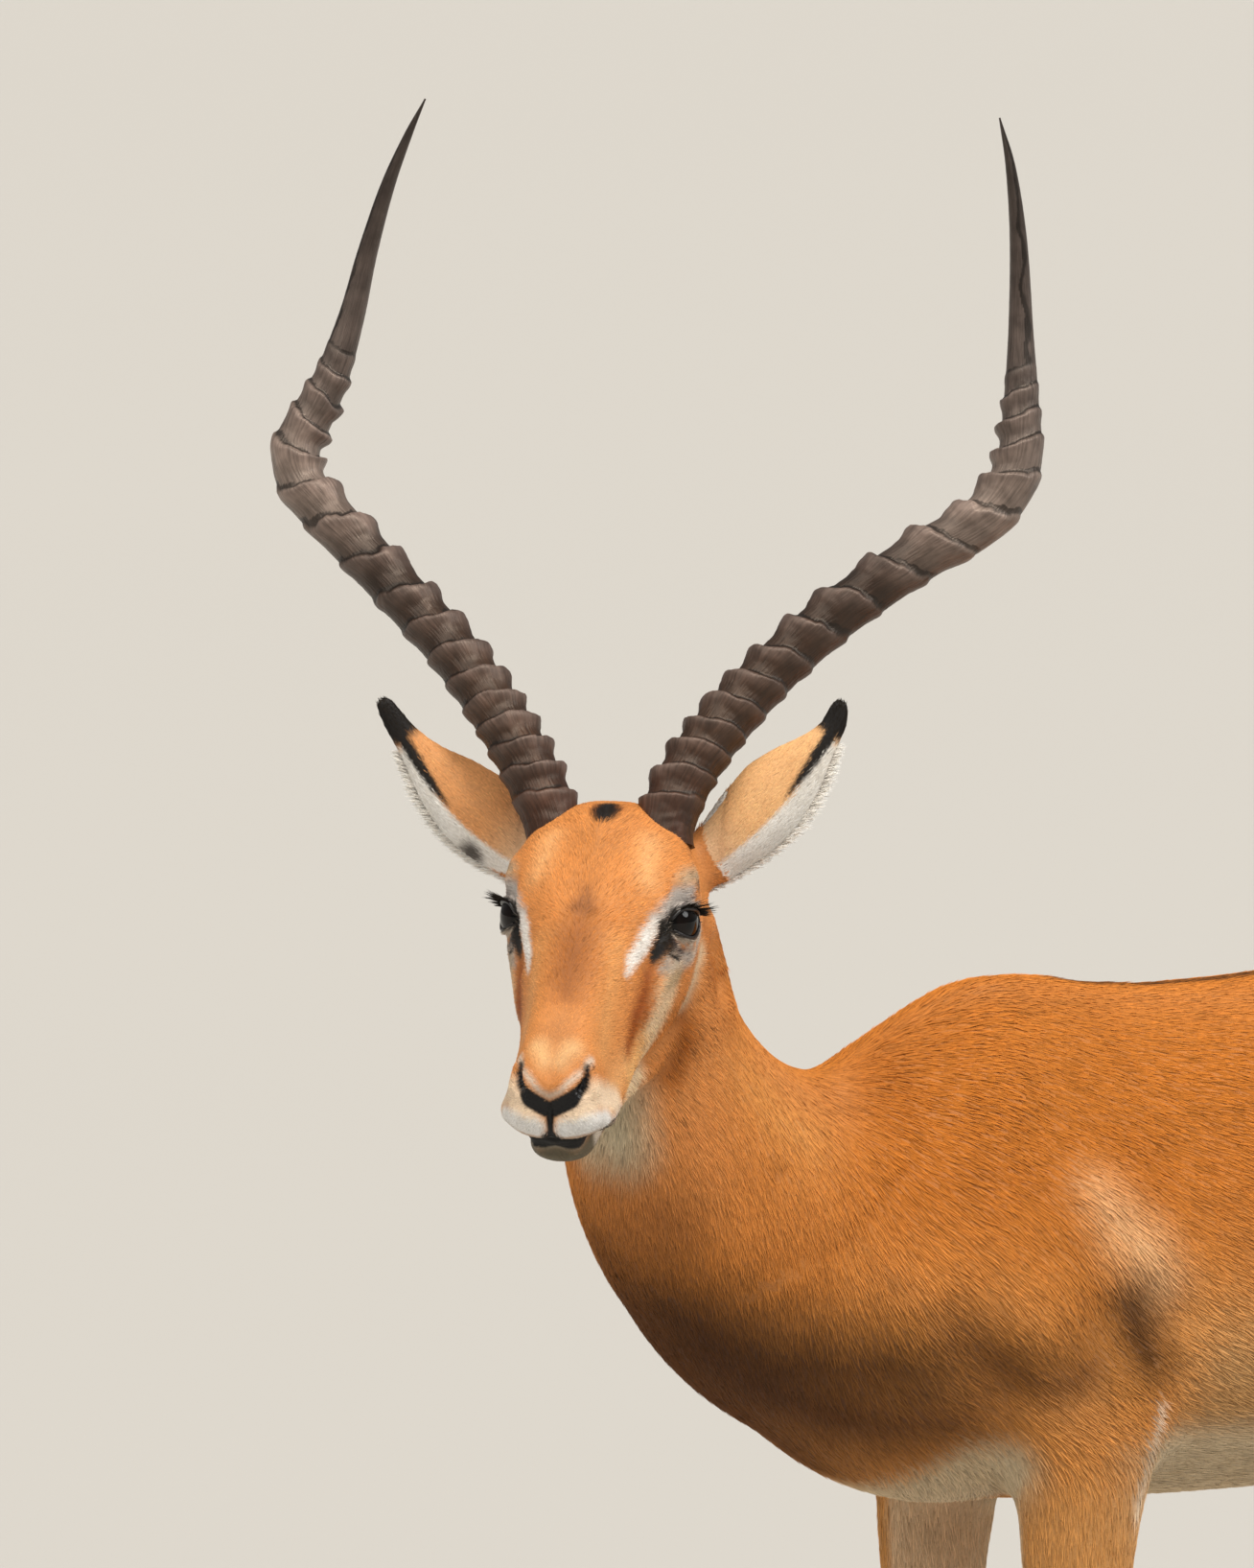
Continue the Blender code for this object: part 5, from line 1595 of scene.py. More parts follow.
def lock_tree(scattered):
    """Locks on a surface, scattered by density, or one on each point of a mesh.

    Each lock lies along its point's lie, lifted off the skin and turned a little at
    random; its length and width come from the points' own values.
    """
    sockets = {"Lock": "Object", "Made of": "Material", "Seed": "Int"}
    sockets |= {name: "Float" for name in ("Lift", "Stray", "Sink")}
    tree, given = geometry_tree("scattered locks" if scattered else "placed locks", sockets)
    own = {
        name: add_node(tree, "GeometryNodeInputNamedAttribute", {"Name": name}, data_type=kind)
        for name, kind in LOCK_VALUES.items()
    }
    if scattered:
        points = add_node(
            tree,
            "GeometryNodeDistributePointsOnFaces",
            {"Mesh": given["Geometry"], "Density": own["density"], "Seed": given["Seed"]},
        )
    else:
        points = add_node(tree, "GeometryNodeMeshToPoints", {"Mesh": given["Geometry"]})
    drawn = []
    scaled = (given["Stray"], given["Lift"], own["length"], own["width"])
    for number, ((low, high), value) in enumerate(zip(LOCK_DRAWS, scaled), 1):
        seed = add_node(tree, "ShaderNodeMath", {0: given["Seed"], 1: number}, operation="ADD")
        draw = add_node(tree, "FunctionNodeRandomValue", {2: low, 3: high, "Seed": seed}).outputs[1]
        drawn.append(add_node(tree, "ShaderNodeMath", {0: draw, 1: value}, operation="MULTIPLY"))
    stray, lift, length, width = drawn
    laid = add_node(
        tree,
        "FunctionNodeAxesToRotation",
        {"Primary Axis": own["facing"], "Secondary Axis": own["lie"]},
        primary_axis="Z",
        secondary_axis="Y",
    )
    twist = add_node(tree, "ShaderNodeCombineXYZ", {"X": lift, "Z": stray})
    spin = add_node(tree, "FunctionNodeEulerToRotation", {"Euler": twist})
    turn = {"Rotation": laid, "Rotate By": spin}
    turned = add_node(tree, "FunctionNodeRotateRotation", turn, rotation_space="LOCAL")
    size = add_node(tree, "ShaderNodeCombineXYZ", {"X": width, "Y": length, "Z": width})
    shape = add_node(tree, "GeometryNodeObjectInfo", {"Object": given["Lock"]}).outputs["Geometry"]
    locks = add_node(
        tree,
        "GeometryNodeInstanceOnPoints",
        {"Points": points, "Instance": shape, "Rotation": turned, "Scale": size},
    )
    down = add_node(tree, "ShaderNodeMath", {0: given["Sink"], 1: -1.0}, operation="MULTIPLY")
    sink = add_node(tree, "ShaderNodeVectorMath", {0: own["facing"], "Scale": down}, operation="SCALE")
    move = {"Instances": locks, "Translation": sink, "Local Space": False}
    sunk = add_node(tree, "GeometryNodeTranslateInstances", move)
    return end_tree(tree, sunk, given["Made of"])


def bake_chart(roots, facings):
    """Places on an unwrap of the skin's own shape: six directions, left and right."""
    strongest = np.abs(facings).argmax(1)
    negative = np.take_along_axis(facings, strongest[:, None], 1)[:, 0] < 0
    cell = strongest * 4 + negative * 2 + (roots[:, 0] < 0)
    low, high = roots.min(0), roots.max(0)
    scaled = (roots - low) / np.maximum(high - low, 1e-6)
    first = np.array((1, 0, 0))[strongest]
    second = np.array((2, 2, 1))[strongest]
    inside = np.column_stack([scaled[np.arange(len(roots)), k] for k in (first, second)])
    inside = 0.02 + 0.94 * inside
    return (np.column_stack([cell % 4, cell // 4]) + inside) / (4, 3)


def dressed_hair(mesh, parts, colours_at, spread, seed, uneven=COAT_UNEVEN):
    """Colours each lock from the skin under it, darker at its root as painted shade between the locks, and
    charts it.
    """
    lock_points = 3 * parts + 1
    points = points_of(mesh).reshape(-1, lock_points, 3)
    facings = attribute_values(mesh, "facing", 3).reshape(-1, lock_points, 3)[:, 0]
    roots = points[:, :3].mean(1)
    chance = np.random.default_rng(seed)
    colours = colours_at(roots + chance.normal(0, spread, roots.shape), facings)
    along = np.append(np.repeat(np.arange(parts) / parts, 3), 1.0)
    flecked = np.where(chance.random(len(roots)) < FLECK_SHARE, 1 - FLECK_DARK * uneven, 1.0)
    tone = chance.normal(1.0, uneven, len(roots)) * flecked
    # Each lock darker at its root, as painted shade between the locks, and paler towards its tip.
    shade = tone[:, None, None] * (ROOT_LIGHT + TIP_LIGHT * along)[:, None]
    tint = np.clip(colours[:, None, :] * shade, 0, 1)
    set_attribute(mesh, "tint", "FLOAT_COLOR", opaque(tint.reshape(-1, 3)))
    patch = np.column_stack([np.tile((0.0, 1.0, 0.5), parts + 1)[:lock_points], along]) * PATCH_SIZE
    places = (bake_chart(roots, facings)[:, None, :] + patch).reshape(-1, 2)
    corners = np.empty(len(mesh.loops), np.int32)
    mesh.loops.foreach_get("vertex_index", corners)
    uv = mesh.uv_layers.get("OFBake") or mesh.uv_layers.new(name="OFBake")
    uv.data.foreach_set("uv", places[corners].astype(np.float32).ravel())
    for extra in LOCK_VALUES:
        if extra in mesh.attributes:
            mesh.attributes.remove(mesh.attributes[extra])
    return mesh


# ---------------------------------------------------------------- materials
def new_material(name, **values):
    """A material with one Principled shader whose uniform values are set on it."""
    made = bpy.data.materials.new(name)
    made.use_nodes = True
    shader = made.node_tree.nodes["Principled BSDF"]
    fill(shader, {socket.replace("_", " "): value for socket, value in values.items()})
    return made, made.node_tree, shader


def set_stops(ramp, stops):
    """Gives a ramp its stops: places and linear colours."""
    elements = ramp.color_ramp.elements
    while len(elements) < len(stops):
        elements.new(0.5)
    for element, (at, colour) in zip(elements, stops):
        element.position = at
        element.color = (*colour, 1.0)


def hair_material():
    """Short glossy guard hair: satin, its colour carried lock by lock from root to tip."""
    made, tree, shader = new_material(
        "guard hair", Roughness=0.50, Specular_IOR_Level=0.24, Specular_Tint=(1.0, 0.84, 0.62, 1.0)
    )
    fill(shader, {"Base Color": add_node(tree, "ShaderNodeAttribute", attribute_name="tint")})
    return made


def skin_material():
    """Haired hide: the coat's colours, with hair grain of about 0.7 mm; bare black nose
    leather shines through damp, its pebbles about 1.6 mm across."""
    made, tree, shader = new_material("haired hide", Specular_IOR_Level=0.30)
    tint = add_node(tree, "ShaderNodeAttribute", attribute_name="tint")
    bare = add_node(tree, "ShaderNodeAttribute", attribute_name="bare").outputs["Fac"]
    place = add_node(tree, "ShaderNodeTexCoord").outputs["Object"]
    grain = add_node(tree, "ShaderNodeTexNoise", grains(place, 1.4, 3.0))
    broad = add_node(tree, "ShaderNodeTexNoise", grains(place, 22, 2.0))
    tone = add_node(tree, "ShaderNodeMapRange", spans(broad, 0.3, 0.7, 0.70, 0.86))
    fine = add_node(tree, "ShaderNodeMapRange", spans(grain, 0.3, 0.7, 0.86, 1.10))
    level = add_node(tree, "ShaderNodeMath", {0: tone, 1: fine}, operation="MULTIPLY")
    shaded = add_node(tree, "ShaderNodeVectorMath", {0: tint, "Scale": level}, operation="SCALE")
    pebbles = add_node(tree, "ShaderNodeTexVoronoi", {"Vector": place, "Scale": 1 / (1.6 * MM)})
    relief = add_node(tree, "ShaderNodeMix", {0: bare, 2: grain, 3: pebbles})
    bump = add_node(tree, "ShaderNodeBump", {"Height": relief, "Distance": 0.5 * MM, "Strength": 0.7})
    gloss = add_node(tree, "ShaderNodeMapRange", spans(bare, 0.0, 1.0, 0.62, 0.34))
    fill(shader, {"Base Color": shaded, "Normal": bump, "Roughness": gloss})
    return made


# The horn's colours along its length, base to tip. The stops near the base are partly darkened
# as painted shade, and the paler stops at the bend (0.55 and 0.68) are a painted highlight where
# the bend catches the light.
HORN_STOPS = [
    (0.00, "3C1C0C"),
    (0.14, "382213"),
    (0.40, "33241C"),
    (0.55, "86766C"),
    (0.68, "5C504A"),
    (1.00, "37302D"),
]


def horn_material(looks):
    """Keratin: satin dark grey brown, red brown and rough at the base, with growth fibres about
    0.8 mm apart along it. The ridges' crests are paler, partly from rubbing and partly as a painted
    highlight, and the hollow beyond each crest is darkened as painted shade."""
    made, tree, shader = new_material(
        "horn keratin", IOR=1.54, Specular_IOR_Level=0.42, Specular_Tint=(1.0, 0.84, 0.72, 1.0)
    )
    along = add_node(tree, "ShaderNodeAttribute", attribute_name="along").outputs["Fac"]
    crest = add_node(tree, "ShaderNodeAttribute", attribute_name="crest").outputs["Fac"]
    grain = add_node(tree, "ShaderNodeAttribute", attribute_name="grain").outputs["Vector"]
    place = add_node(tree, "ShaderNodeTexCoord").outputs["Object"]
    fibres = add_node(tree, "ShaderNodeTexNoise", grains(grain, 1.6, 4.0))
    patches = add_node(tree, "ShaderNodeTexNoise", grains(place, 14, 3.0))
    ramp = add_node(tree, "ShaderNodeValToRGB", {"Fac": along})
    set_stops(ramp, [(at, linear(colour)) for at, colour in HORN_STOPS])
    # Crests mixed towards the crest colour: partly rubbed keratin, partly a painted highlight.
    crest_rub_and_highlight = add_node(tree, "ShaderNodeMath", {0: crest, 1: 0.72}, operation="MULTIPLY")
    mixed = {"Fac": crest_rub_and_highlight, "Color1": ramp, "Color2": (*looks.crest_rub_and_highlight_colour, 1.0)}
    worn_and_lit = add_node(tree, "ShaderNodeMixRGB", mixed)
    # Painted shade: the hollow beyond each crest darkened; the crests a little lightened as painted
    # highlight.
    dark = add_node(tree, "ShaderNodeMapRange", spans(crest, -0.6, 0.45, 0.16, 1.1))
    mottled = add_node(tree, "ShaderNodeMath", {0: patches, 1: fibres}, operation="MULTIPLY")
    level = add_node(tree, "ShaderNodeMapRange", spans(mottled, 0.10, 0.42, 0.46, 1.50))
    level = add_node(tree, "ShaderNodeMath", {0: level, 1: dark}, operation="MULTIPLY")
    shaded = add_node(tree, "ShaderNodeVectorMath", {0: worn_and_lit, "Scale": level}, operation="SCALE")
    bump = add_node(tree, "ShaderNodeBump", {"Height": fibres, "Distance": 0.8 * MM, "Strength": 0.8})
    gloss = add_node(tree, "ShaderNodeMapRange", spans(along, 0.0, 1.0, 0.50, 0.30))
    fill(shader, {"Base Color": shaded, "Normal": bump, "Roughness": gloss})
    return made


def hoof_material():
    """Hoof keratin: near black, dull, dusty, with broad uneven growth bands round the
    wall about 19 mm apart."""
    made, tree, shader = new_material("hoof keratin", Roughness=0.48, IOR=1.54)
    place = add_node(tree, "ShaderNodeTexCoord").outputs["Object"]
    bands = {"Vector": place, "Scale": 0.05 / (3 * MM), "Distortion": 2.0, "Detail": 2.0}
    growth = add_node(tree, "ShaderNodeTexWave", bands, bands_direction="Z")
    dust = add_node(tree, "ShaderNodeTexNoise", grains(place, 6, 4.0))
    ramp = add_node(tree, "ShaderNodeValToRGB", {"Fac": dust})
    set_stops(ramp, [(0.35, linear("1A1817")), (0.75, linear("4A423A"))])
    bump = add_node(tree, "ShaderNodeBump", {"Height": growth, "Distance": 0.4 * MM, "Strength": 0.5})
    fill(shader, {"Base Color": ramp, "Normal": bump})
    return made


def eye_material(looks):
    """A wet cornea over a very dark brown iris with a long level pupil."""
    made, tree, shader = new_material("wet eye", Roughness=0.03, IOR=1.36, Specular_IOR_Level=0.42)
    iris = add_node(tree, "ShaderNodeAttribute", attribute_name="iris").outputs["Vector"]
    pupil = add_node(tree, "ShaderNodeAttribute", attribute_name="pupil").outputs["Fac"]
    rays = add_node(tree, "ShaderNodeTexNoise", grains(iris, 1.2, 2.0))
    ramp = add_node(tree, "ShaderNodeValToRGB", {"Fac": rays})
    set_stops(ramp, [(0.0, linear("080605")), (1.0, looks.iris_colour)])
    level = add_node(tree, "ShaderNodeMapRange", spans(pupil, 0.0, 1.0, 0.06, 1.0))
    shaded = add_node(tree, "ShaderNodeVectorMath", {0: ramp, "Scale": level}, operation="SCALE")
    fill(shader, {"Base Color": shaded})
    return made


def lid_material():
    """Bare black lid skin, damp, with wrinkles about 1 mm apart."""
    made, tree, shader = new_material("lid skin", Roughness=0.36)
    place = add_node(tree, "ShaderNodeTexCoord").outputs["Object"]
    wrinkles = add_node(tree, "ShaderNodeTexNoise", grains(place, 2, 3.0))
    ramp = add_node(tree, "ShaderNodeValToRGB", {"Fac": wrinkles})
    set_stops(ramp, [(0.0, linear("0B0A0A")), (1.0, linear("242020"))])
    bump = add_node(tree, "ShaderNodeBump", {"Height": wrinkles, "Distance": 0.3 * MM, "Strength": 0.6})
    fill(shader, {"Base Color": ramp, "Normal": bump})
    return made


def floor_material(looks):
    """Pale matt studio floor, with the faintest cloudiness."""
    made, tree, shader = new_material("studio floor", Roughness=0.9, Specular_IOR_Level=0.1)
    place = add_node(tree, "ShaderNodeTexCoord").outputs["Object"]
    clouds = add_node(tree, "ShaderNodeTexNoise", {"Vector": place, "Scale": 0.4})
    ramp = add_node(tree, "ShaderNodeValToRGB", {"Fac": clouds})
    floor = np.array(looks.floor_colour)
    set_stops(ramp, [(0.0, floor * 0.98), (1.0, floor)])
    fill(shader, {"Base Color": ramp})
    return made


# ---------------------------------------------------------------- sizes a user may change
class ImpalaCoat(bpy.types.PropertyGroup):
    """Lengths and set of the hair locks."""

    face_length: FloatProperty(
        name="Face hair", description="Length of the forehead's hair", default=0.0046, unit="LENGTH"
    )
    ear_length: FloatProperty(
        name="Ear hair", description="Length of the hair on the ears", default=0.0036, unit="LENGTH"
    )
    neck_length: FloatProperty(
        name="Neck hair", description="Length of the neck's hair", default=0.0090, unit="LENGTH"
    )
    trunk_length: FloatProperty(
        name="Trunk hair",
        description="Length of the hair on back and flanks",
        default=0.0110,
        unit="LENGTH",
    )
    tail_length: FloatProperty(
        name="Tail hair", description="Length of the hair on the tail", default=0.024, unit="LENGTH"
    )
    leg_length: FloatProperty(
        name="Leg hair", description="Length of the hair on the legs", default=0.0062, unit="LENGTH"
    )
    fringe_length: FloatProperty(
        name="Fringe length",
        description="Longest hair on the ears' lower edges",
        default=0.0080,
        unit="LENGTH",
    )
    fringe_hairs: IntProperty(name="Fringe hairs", description="Fringe hairs on each ear", default=2200)
    slimness: FloatProperty(
        name="Slimness", description="Width of a lock as a share of its length", default=0.15
    )
    lift: FloatProperty(
        name="Lift", description="How far locks stand off the skin", default=0.075, subtype="ANGLE"
    )
    stray: FloatProperty(
        name="Stray",
        description="How far locks turn from the lie of the coat",
        default=0.20,
        subtype="ANGLE",
    )
    seed: IntProperty(name="Seed", description="Order of the scattered locks", default=7)


class ImpalaHorns(bpy.types.PropertyGroup):
    """Ridges and colour of the horns."""

    ridges: IntProperty(name="Ridges", description="Ridges on each horn", default=17)
    ridge_height: FloatProperty(
        name="Ridge height",
        description="Height of a ridge at the horn's front",
        default=0.0050,
        unit="LENGTH",
    )
    slant: FloatProperty(
        name="Slant", description="How far a ridge climbs across the horn, in ridges", default=0.34
    )
    # The crests' colour: rubbed keratin and a painted highlight.
    crest_rub_and_highlight_colour: FloatVectorProperty(
        name="Crest colour",
        description="Worn keratin on the ridges' crests",
        default=linear("5E504A"),
        subtype="COLOR",
        size=3,
    )


class ImpalaEyes(bpy.types.PropertyGroup):
    """Colour of the eyes and size of the lashes."""

    iris_colour: FloatVectorProperty(
        name="Iris colour",
        description="Lightest brown of the iris",
        default=linear("160D09"),
        subtype="COLOR",
        size=3,
    )
    lash_length: FloatProperty(
        name="Lash length", description="Length of the upper lashes", default=0.0125, unit="LENGTH"
    )
    lashes: IntProperty(name="Lashes", description="Upper lashes on each eye", default=90)


class ImpalaStage(bpy.types.PropertyGroup):
    """Floor, lights and camera."""

    floor_colour: FloatVectorProperty(
        name="Floor colour",
        description="Pale studio floor",
        default=linear("B2B0AC"),
        subtype="COLOR",
        size=3,
    )
    key_power: FloatProperty(name="Key light", description="Strength of the broad key light", default=2.8)
    key_angle: FloatProperty(
        name="Key breadth",
        description="How broad the key light is",
        default=math.radians(21.0),
        subtype="ANGLE",
    )
    fill_power: FloatProperty(name="Fill light", description="Strength of the fill light", default=2.0)
    rim_power: FloatProperty(name="Rim light", description="Strength of the light from behind", default=1.1)
    sky_level: FloatProperty(name="Room light", description="Brightness of the pale room", default=0.24)


# ---------------------------------------------------------------- operators
class IMPALA_OT_skin(bpy.types.Operator):
    """Make the one skin of head, ears, neck, trunk, legs and tail"""

    bl_idname = "impala.skin"
    bl_label = "Skin"

    def execute(self, context):
        mesh = skin_mesh()
        points, normals = points_of(mesh), points_of(mesh, "normal")
        markings = Markings(points)
        set_attribute(mesh, "tint", "FLOAT_COLOR", opaque(markings.colours(points, normals)))
        set_attribute(mesh, "bare", "FLOAT", markings.bare(from_head(points)))
        flesh = ["head", "neck", "trunk", "tail", "ear_left", "ear_right"]
        flesh += [name for name, _kind, _side, _foot in feet()]
        finished("skin", mesh, skin_material(), flesh)
        return {"FINISHED"}


def set_lock_values(mesh, *values):
    """Writes what the locks take from a mesh's points, in the order of LOCK_VALUES."""
    for (name, kind), value in zip(LOCK_VALUES.items(), values):
        set_attribute(mesh, name, kind, value)


class IMPALA_OT_coat(bpy.types.Operator):
    """Grow the short coat over the skin, zone by zone"""

    bl_idname = "impala.coat"
    bl_label = "Coat"

    def execute(self, context):
        looks = context.scene.impala_coat
        skin = bpy.data.objects["skin"].data
        points = points_of(skin) + MIDDLE
        normals = points_of(skin, "normal")
        lie = hair_lie(points, normals)
        length = hair_length(points, looks)
        width = np.maximum(length * looks.slimness, THINNEST_LOCK)
        markings = Markings(points)
        grows = hair_share(points, markings)
        lock = lock_shape("short_lock", COAT_PARTS, 0.0)
        tree = lock_tree(True)
        hair = hair_material()
        for number, (zone, chosen) in enumerate(coat_zones(points).items()):
            source = skin.copy()
            set_points(source, points)
            density = grows * chosen * COVER[zone] / (0.5 * width * length)
            set_lock_values(source, density, normals, lie, length, width)
            for extra in ("tint", "bare"):
                source.attributes.remove(source.attributes[extra])
            values = {
                "Lock": lock,
                "Made of": hair,
                "Seed": looks.seed + number,
                "Lift": looks.lift,
                "Stray": looks.stray,
                "Sink": LOCK_SINK,
            }
            coat = run_tree("coat_" + zone, source, tree, values)
            uneven = HEAD_UNEVEN if zone in ("face", "brow", "ears") else COAT_UNEVEN
            coat = dressed_hair(
                coat, COAT_PARTS, markings.colours, COLOUR_SPREAD, looks.seed + number, uneven
            )
            finished("coat_" + zone, coat, hair, flat=True)
        bpy.data.objects.remove(lock)
        return {"FINISHED"}


class IMPALA_OT_eyes(bpy.types.Operator):
    """Make the eyeballs, each with its iris and pupil"""

    bl_idname = "impala.eyes"
    bl_label = "Eyes"

    def execute(self, context):
        looks = context.scene.impala_eyes
        wet = eye_material(looks)
        for word, side in SIDES:
            ball = bmesh.new()
            bmesh.ops.create_icosphere(ball, subdivisions=5, radius=EYE_RADIUS)
            mesh = bpy.data.meshes.new("eyeball_" + word)
            ball.to_mesh(mesh)
            ball.free()
            spot = points_of(mesh)
            set_points(mesh, in_head(EYE_SEAT + spot, side))
            facing_out(mesh)
            along, height = spot @ Eye.rearward, spot @ Eye.upward
            ahead = spot @ Eye.outward > 0
            around = np.arctan2(height, along)
            rays = np.column_stack([np.cos(around), np.sin(around), np.hypot(along, height) * 8]) * 0.010
            set_attribute(mesh, "iris", "FLOAT_VECTOR", rays)
            slit = np.hypot(along / PUPIL_LENGTH, height / PUPIL_HEIGHT)
            rim = np.hypot(along, height) / IRIS_RADIUS
            ring = smooth((slit - 0.9) / 0.3) * smooth((1.05 - rim) / 0.12) * ahead
            set_attribute(mesh, "pupil", "FLOAT", ring)
            finished("eyeball_" + word, mesh, wet, ["eye_" + word])
        return {"FINISHED"}


def swept(path, radii, sides=10):
    """A closed tube round a path, pinched to small ends by its radii."""
    path = np.array(path, float)
    tangents = unit(np.gradient(path, axis=0))
    side = unit(np.cross(tangents[0], (0.31, 0.52, 0.80)))
    angle = np.linspace(0, 2 * math.pi, sides, endpoint=False)[:, None]
    rings = []
    for point, tangent, radius in zip(path, tangents, radii):
        side = unit(side - tangent * (side @ tangent))
        other = np.cross(tangent, side)
        rings.append(point + radius * (np.cos(angle) * side + np.sin(angle) * other))
    return ring_shape(rings)


class IMPALA_OT_lids(bpy.types.Operator):
    """Make the bare black rims of the lids"""

    bl_idname = "impala.lids"
    bl_label = "Lids"

    def execute(self, context):
        rim = lid_material()
        for word, side in SIDES:
            along = np.linspace(-1, 1, 41) * LID_HALF_LENGTH
            upper, lower = Eye.lid_edges(along)
            shapes = []
            for edge, thick in ((upper, UPPER_RIM), (lower, LOWER_RIM)):
                path = Eye.place(along, edge, EYE_RADIUS + 0.0007)
                taper = 0.55 + 0.45 * np.sqrt(np.clip(1 - (along / LID_HALF_LENGTH) ** 2, 0, 1))
                shapes.append(swept(in_head(path, side), thick * taper))
            finished("lid_rims_" + word, mesh_of(shapes, "lid_rims_" + word), rim)
        return {"FINISHED"}


def placed_locks(name, roots, own, values, colour, seed):
    """Long locks of one colour, one on each given point, as a finished piece."""
    source = bpy.data.meshes.new(name + "_points")
    source.from_pydata(roots.tolist(), [], [])
    set_lock_values(source, np.ones(len(roots)), *own)
    made = run_tree(name, source, lock_tree(False), values)
    made = dressed_hair(
        made, LONG_PARTS, lambda at, _facing: np.tile(colour, (len(at), 1)), 0.0, seed
    )
    return finished(name, made, values["Made of"])


class IMPALA_OT_lashes(bpy.types.Operator):
    """Set the black lashes along the upper lids"""

    bl_idname = "impala.lashes"
    bl_label = "Lashes"

    def execute(self, context):
        looks = context.scene.impala_eyes
        places, turns, tones = LASH_SEEDS
        chance = np.random.default_rng(places)
        hair = bpy.data.materials["guard hair"]
        lock = lock_shape("lash", LONG_PARTS, 0.0)
        for word, side in SIDES:
            along = chance.uniform(-0.55, 1.0, looks.lashes) * LID_HALF_LENGTH
            upper, _lower = Eye.lid_edges(along)
            place = Eye.place(along, upper + 0.0006, EYE_RADIUS + 0.0012)
            out = unit(place - EYE_SEAT)
            aim = out + 0.25 * Eye.rearward - 0.30 * Eye.upward
            aim = unit(aim + chance.normal(0, 0.10, aim.shape))
            facing = unit(np.cross(aim, np.tile(Eye.rearward, (len(aim), 1))))
            turn = (1, side, 1) * np.ones(3)
            middle = np.clip(1 - np.abs(along / LID_HALF_LENGTH - 0.3), 0, 1)
            length = looks.lash_length * (0.6 + 0.4 * middle)
            widths = np.full(len(aim), LASH_WIDTH)
            own = (facing * turn) @ HEAD_AXES, (aim * turn) @ HEAD_AXES, length, widths
            values = {"Lock": lock, "Made of": hair, "Seed": turns, "Lift": 0.0, "Stray": 0.0, "Sink": 0.0}
            placed_locks("lashes_" + word, in_head(place, side), own, values, HAIR_BLACK, tones)
        bpy.data.objects.remove(lock)
        return {"FINISHED"}


class IMPALA_OT_fringes(bpy.types.Operator):
    """Set the long white hairs along the lower edges of the ears"""

    bl_idname = "impala.fringes"
    bl_label = "Ear fringes"

    def execute(self, context):
        looks = context.scene.impala_coat
        places, turns, tones = FRINGE_SEEDS
        chance = np.random.default_rng(places)
        hair = bpy.data.materials["guard hair"]
        lock = lock_shape("fringe_lock", LONG_PARTS, 0.06)
        for word, side in SIDES:
            ear = EARS[word]
            share = chance.uniform(0.06, 0.74, looks.fringe_hairs)
            half, depth = ear.widths(share)
            lower = ear.at(share, ear.across) * side
            front, axis = ear.at(share, ear.fronts), ear.at(share, ear.axes)
            inward = chance.uniform(0.78, 0.97, len(share))[:, None]
            root = ear.at(share, ear.centres) + lower * half[:, None] * inward
            root = root - front * (chance.uniform(0.25, 0.50, len(share)) * depth + 0.0004)[:, None]
            aim = unit(lower * 0.55 + axis * 0.85 + 0.10 * front + chance.normal(0, 0.11, root.shape))
            facing = unit(front - aim * (front * aim).sum(1, keepdims=True))
            length = looks.fringe_length * (0.55 + 0.6 * np.sin(math.pi * np.clip(share / 0.8, 0, 1)))
            own = facing, aim, length, np.full(len(share), FRINGE_WIDTH)
            values = {"Lock": lock, "Made of": hair, "Seed": turns, "Lift": 0.0, "Stray": 0.1, "Sink": 0.0}
            placed_locks("ear_fringe_" + word, root, own, values, HAIR_WHITE, tones)
        bpy.data.objects.remove(lock)
        return {"FINISHED"}


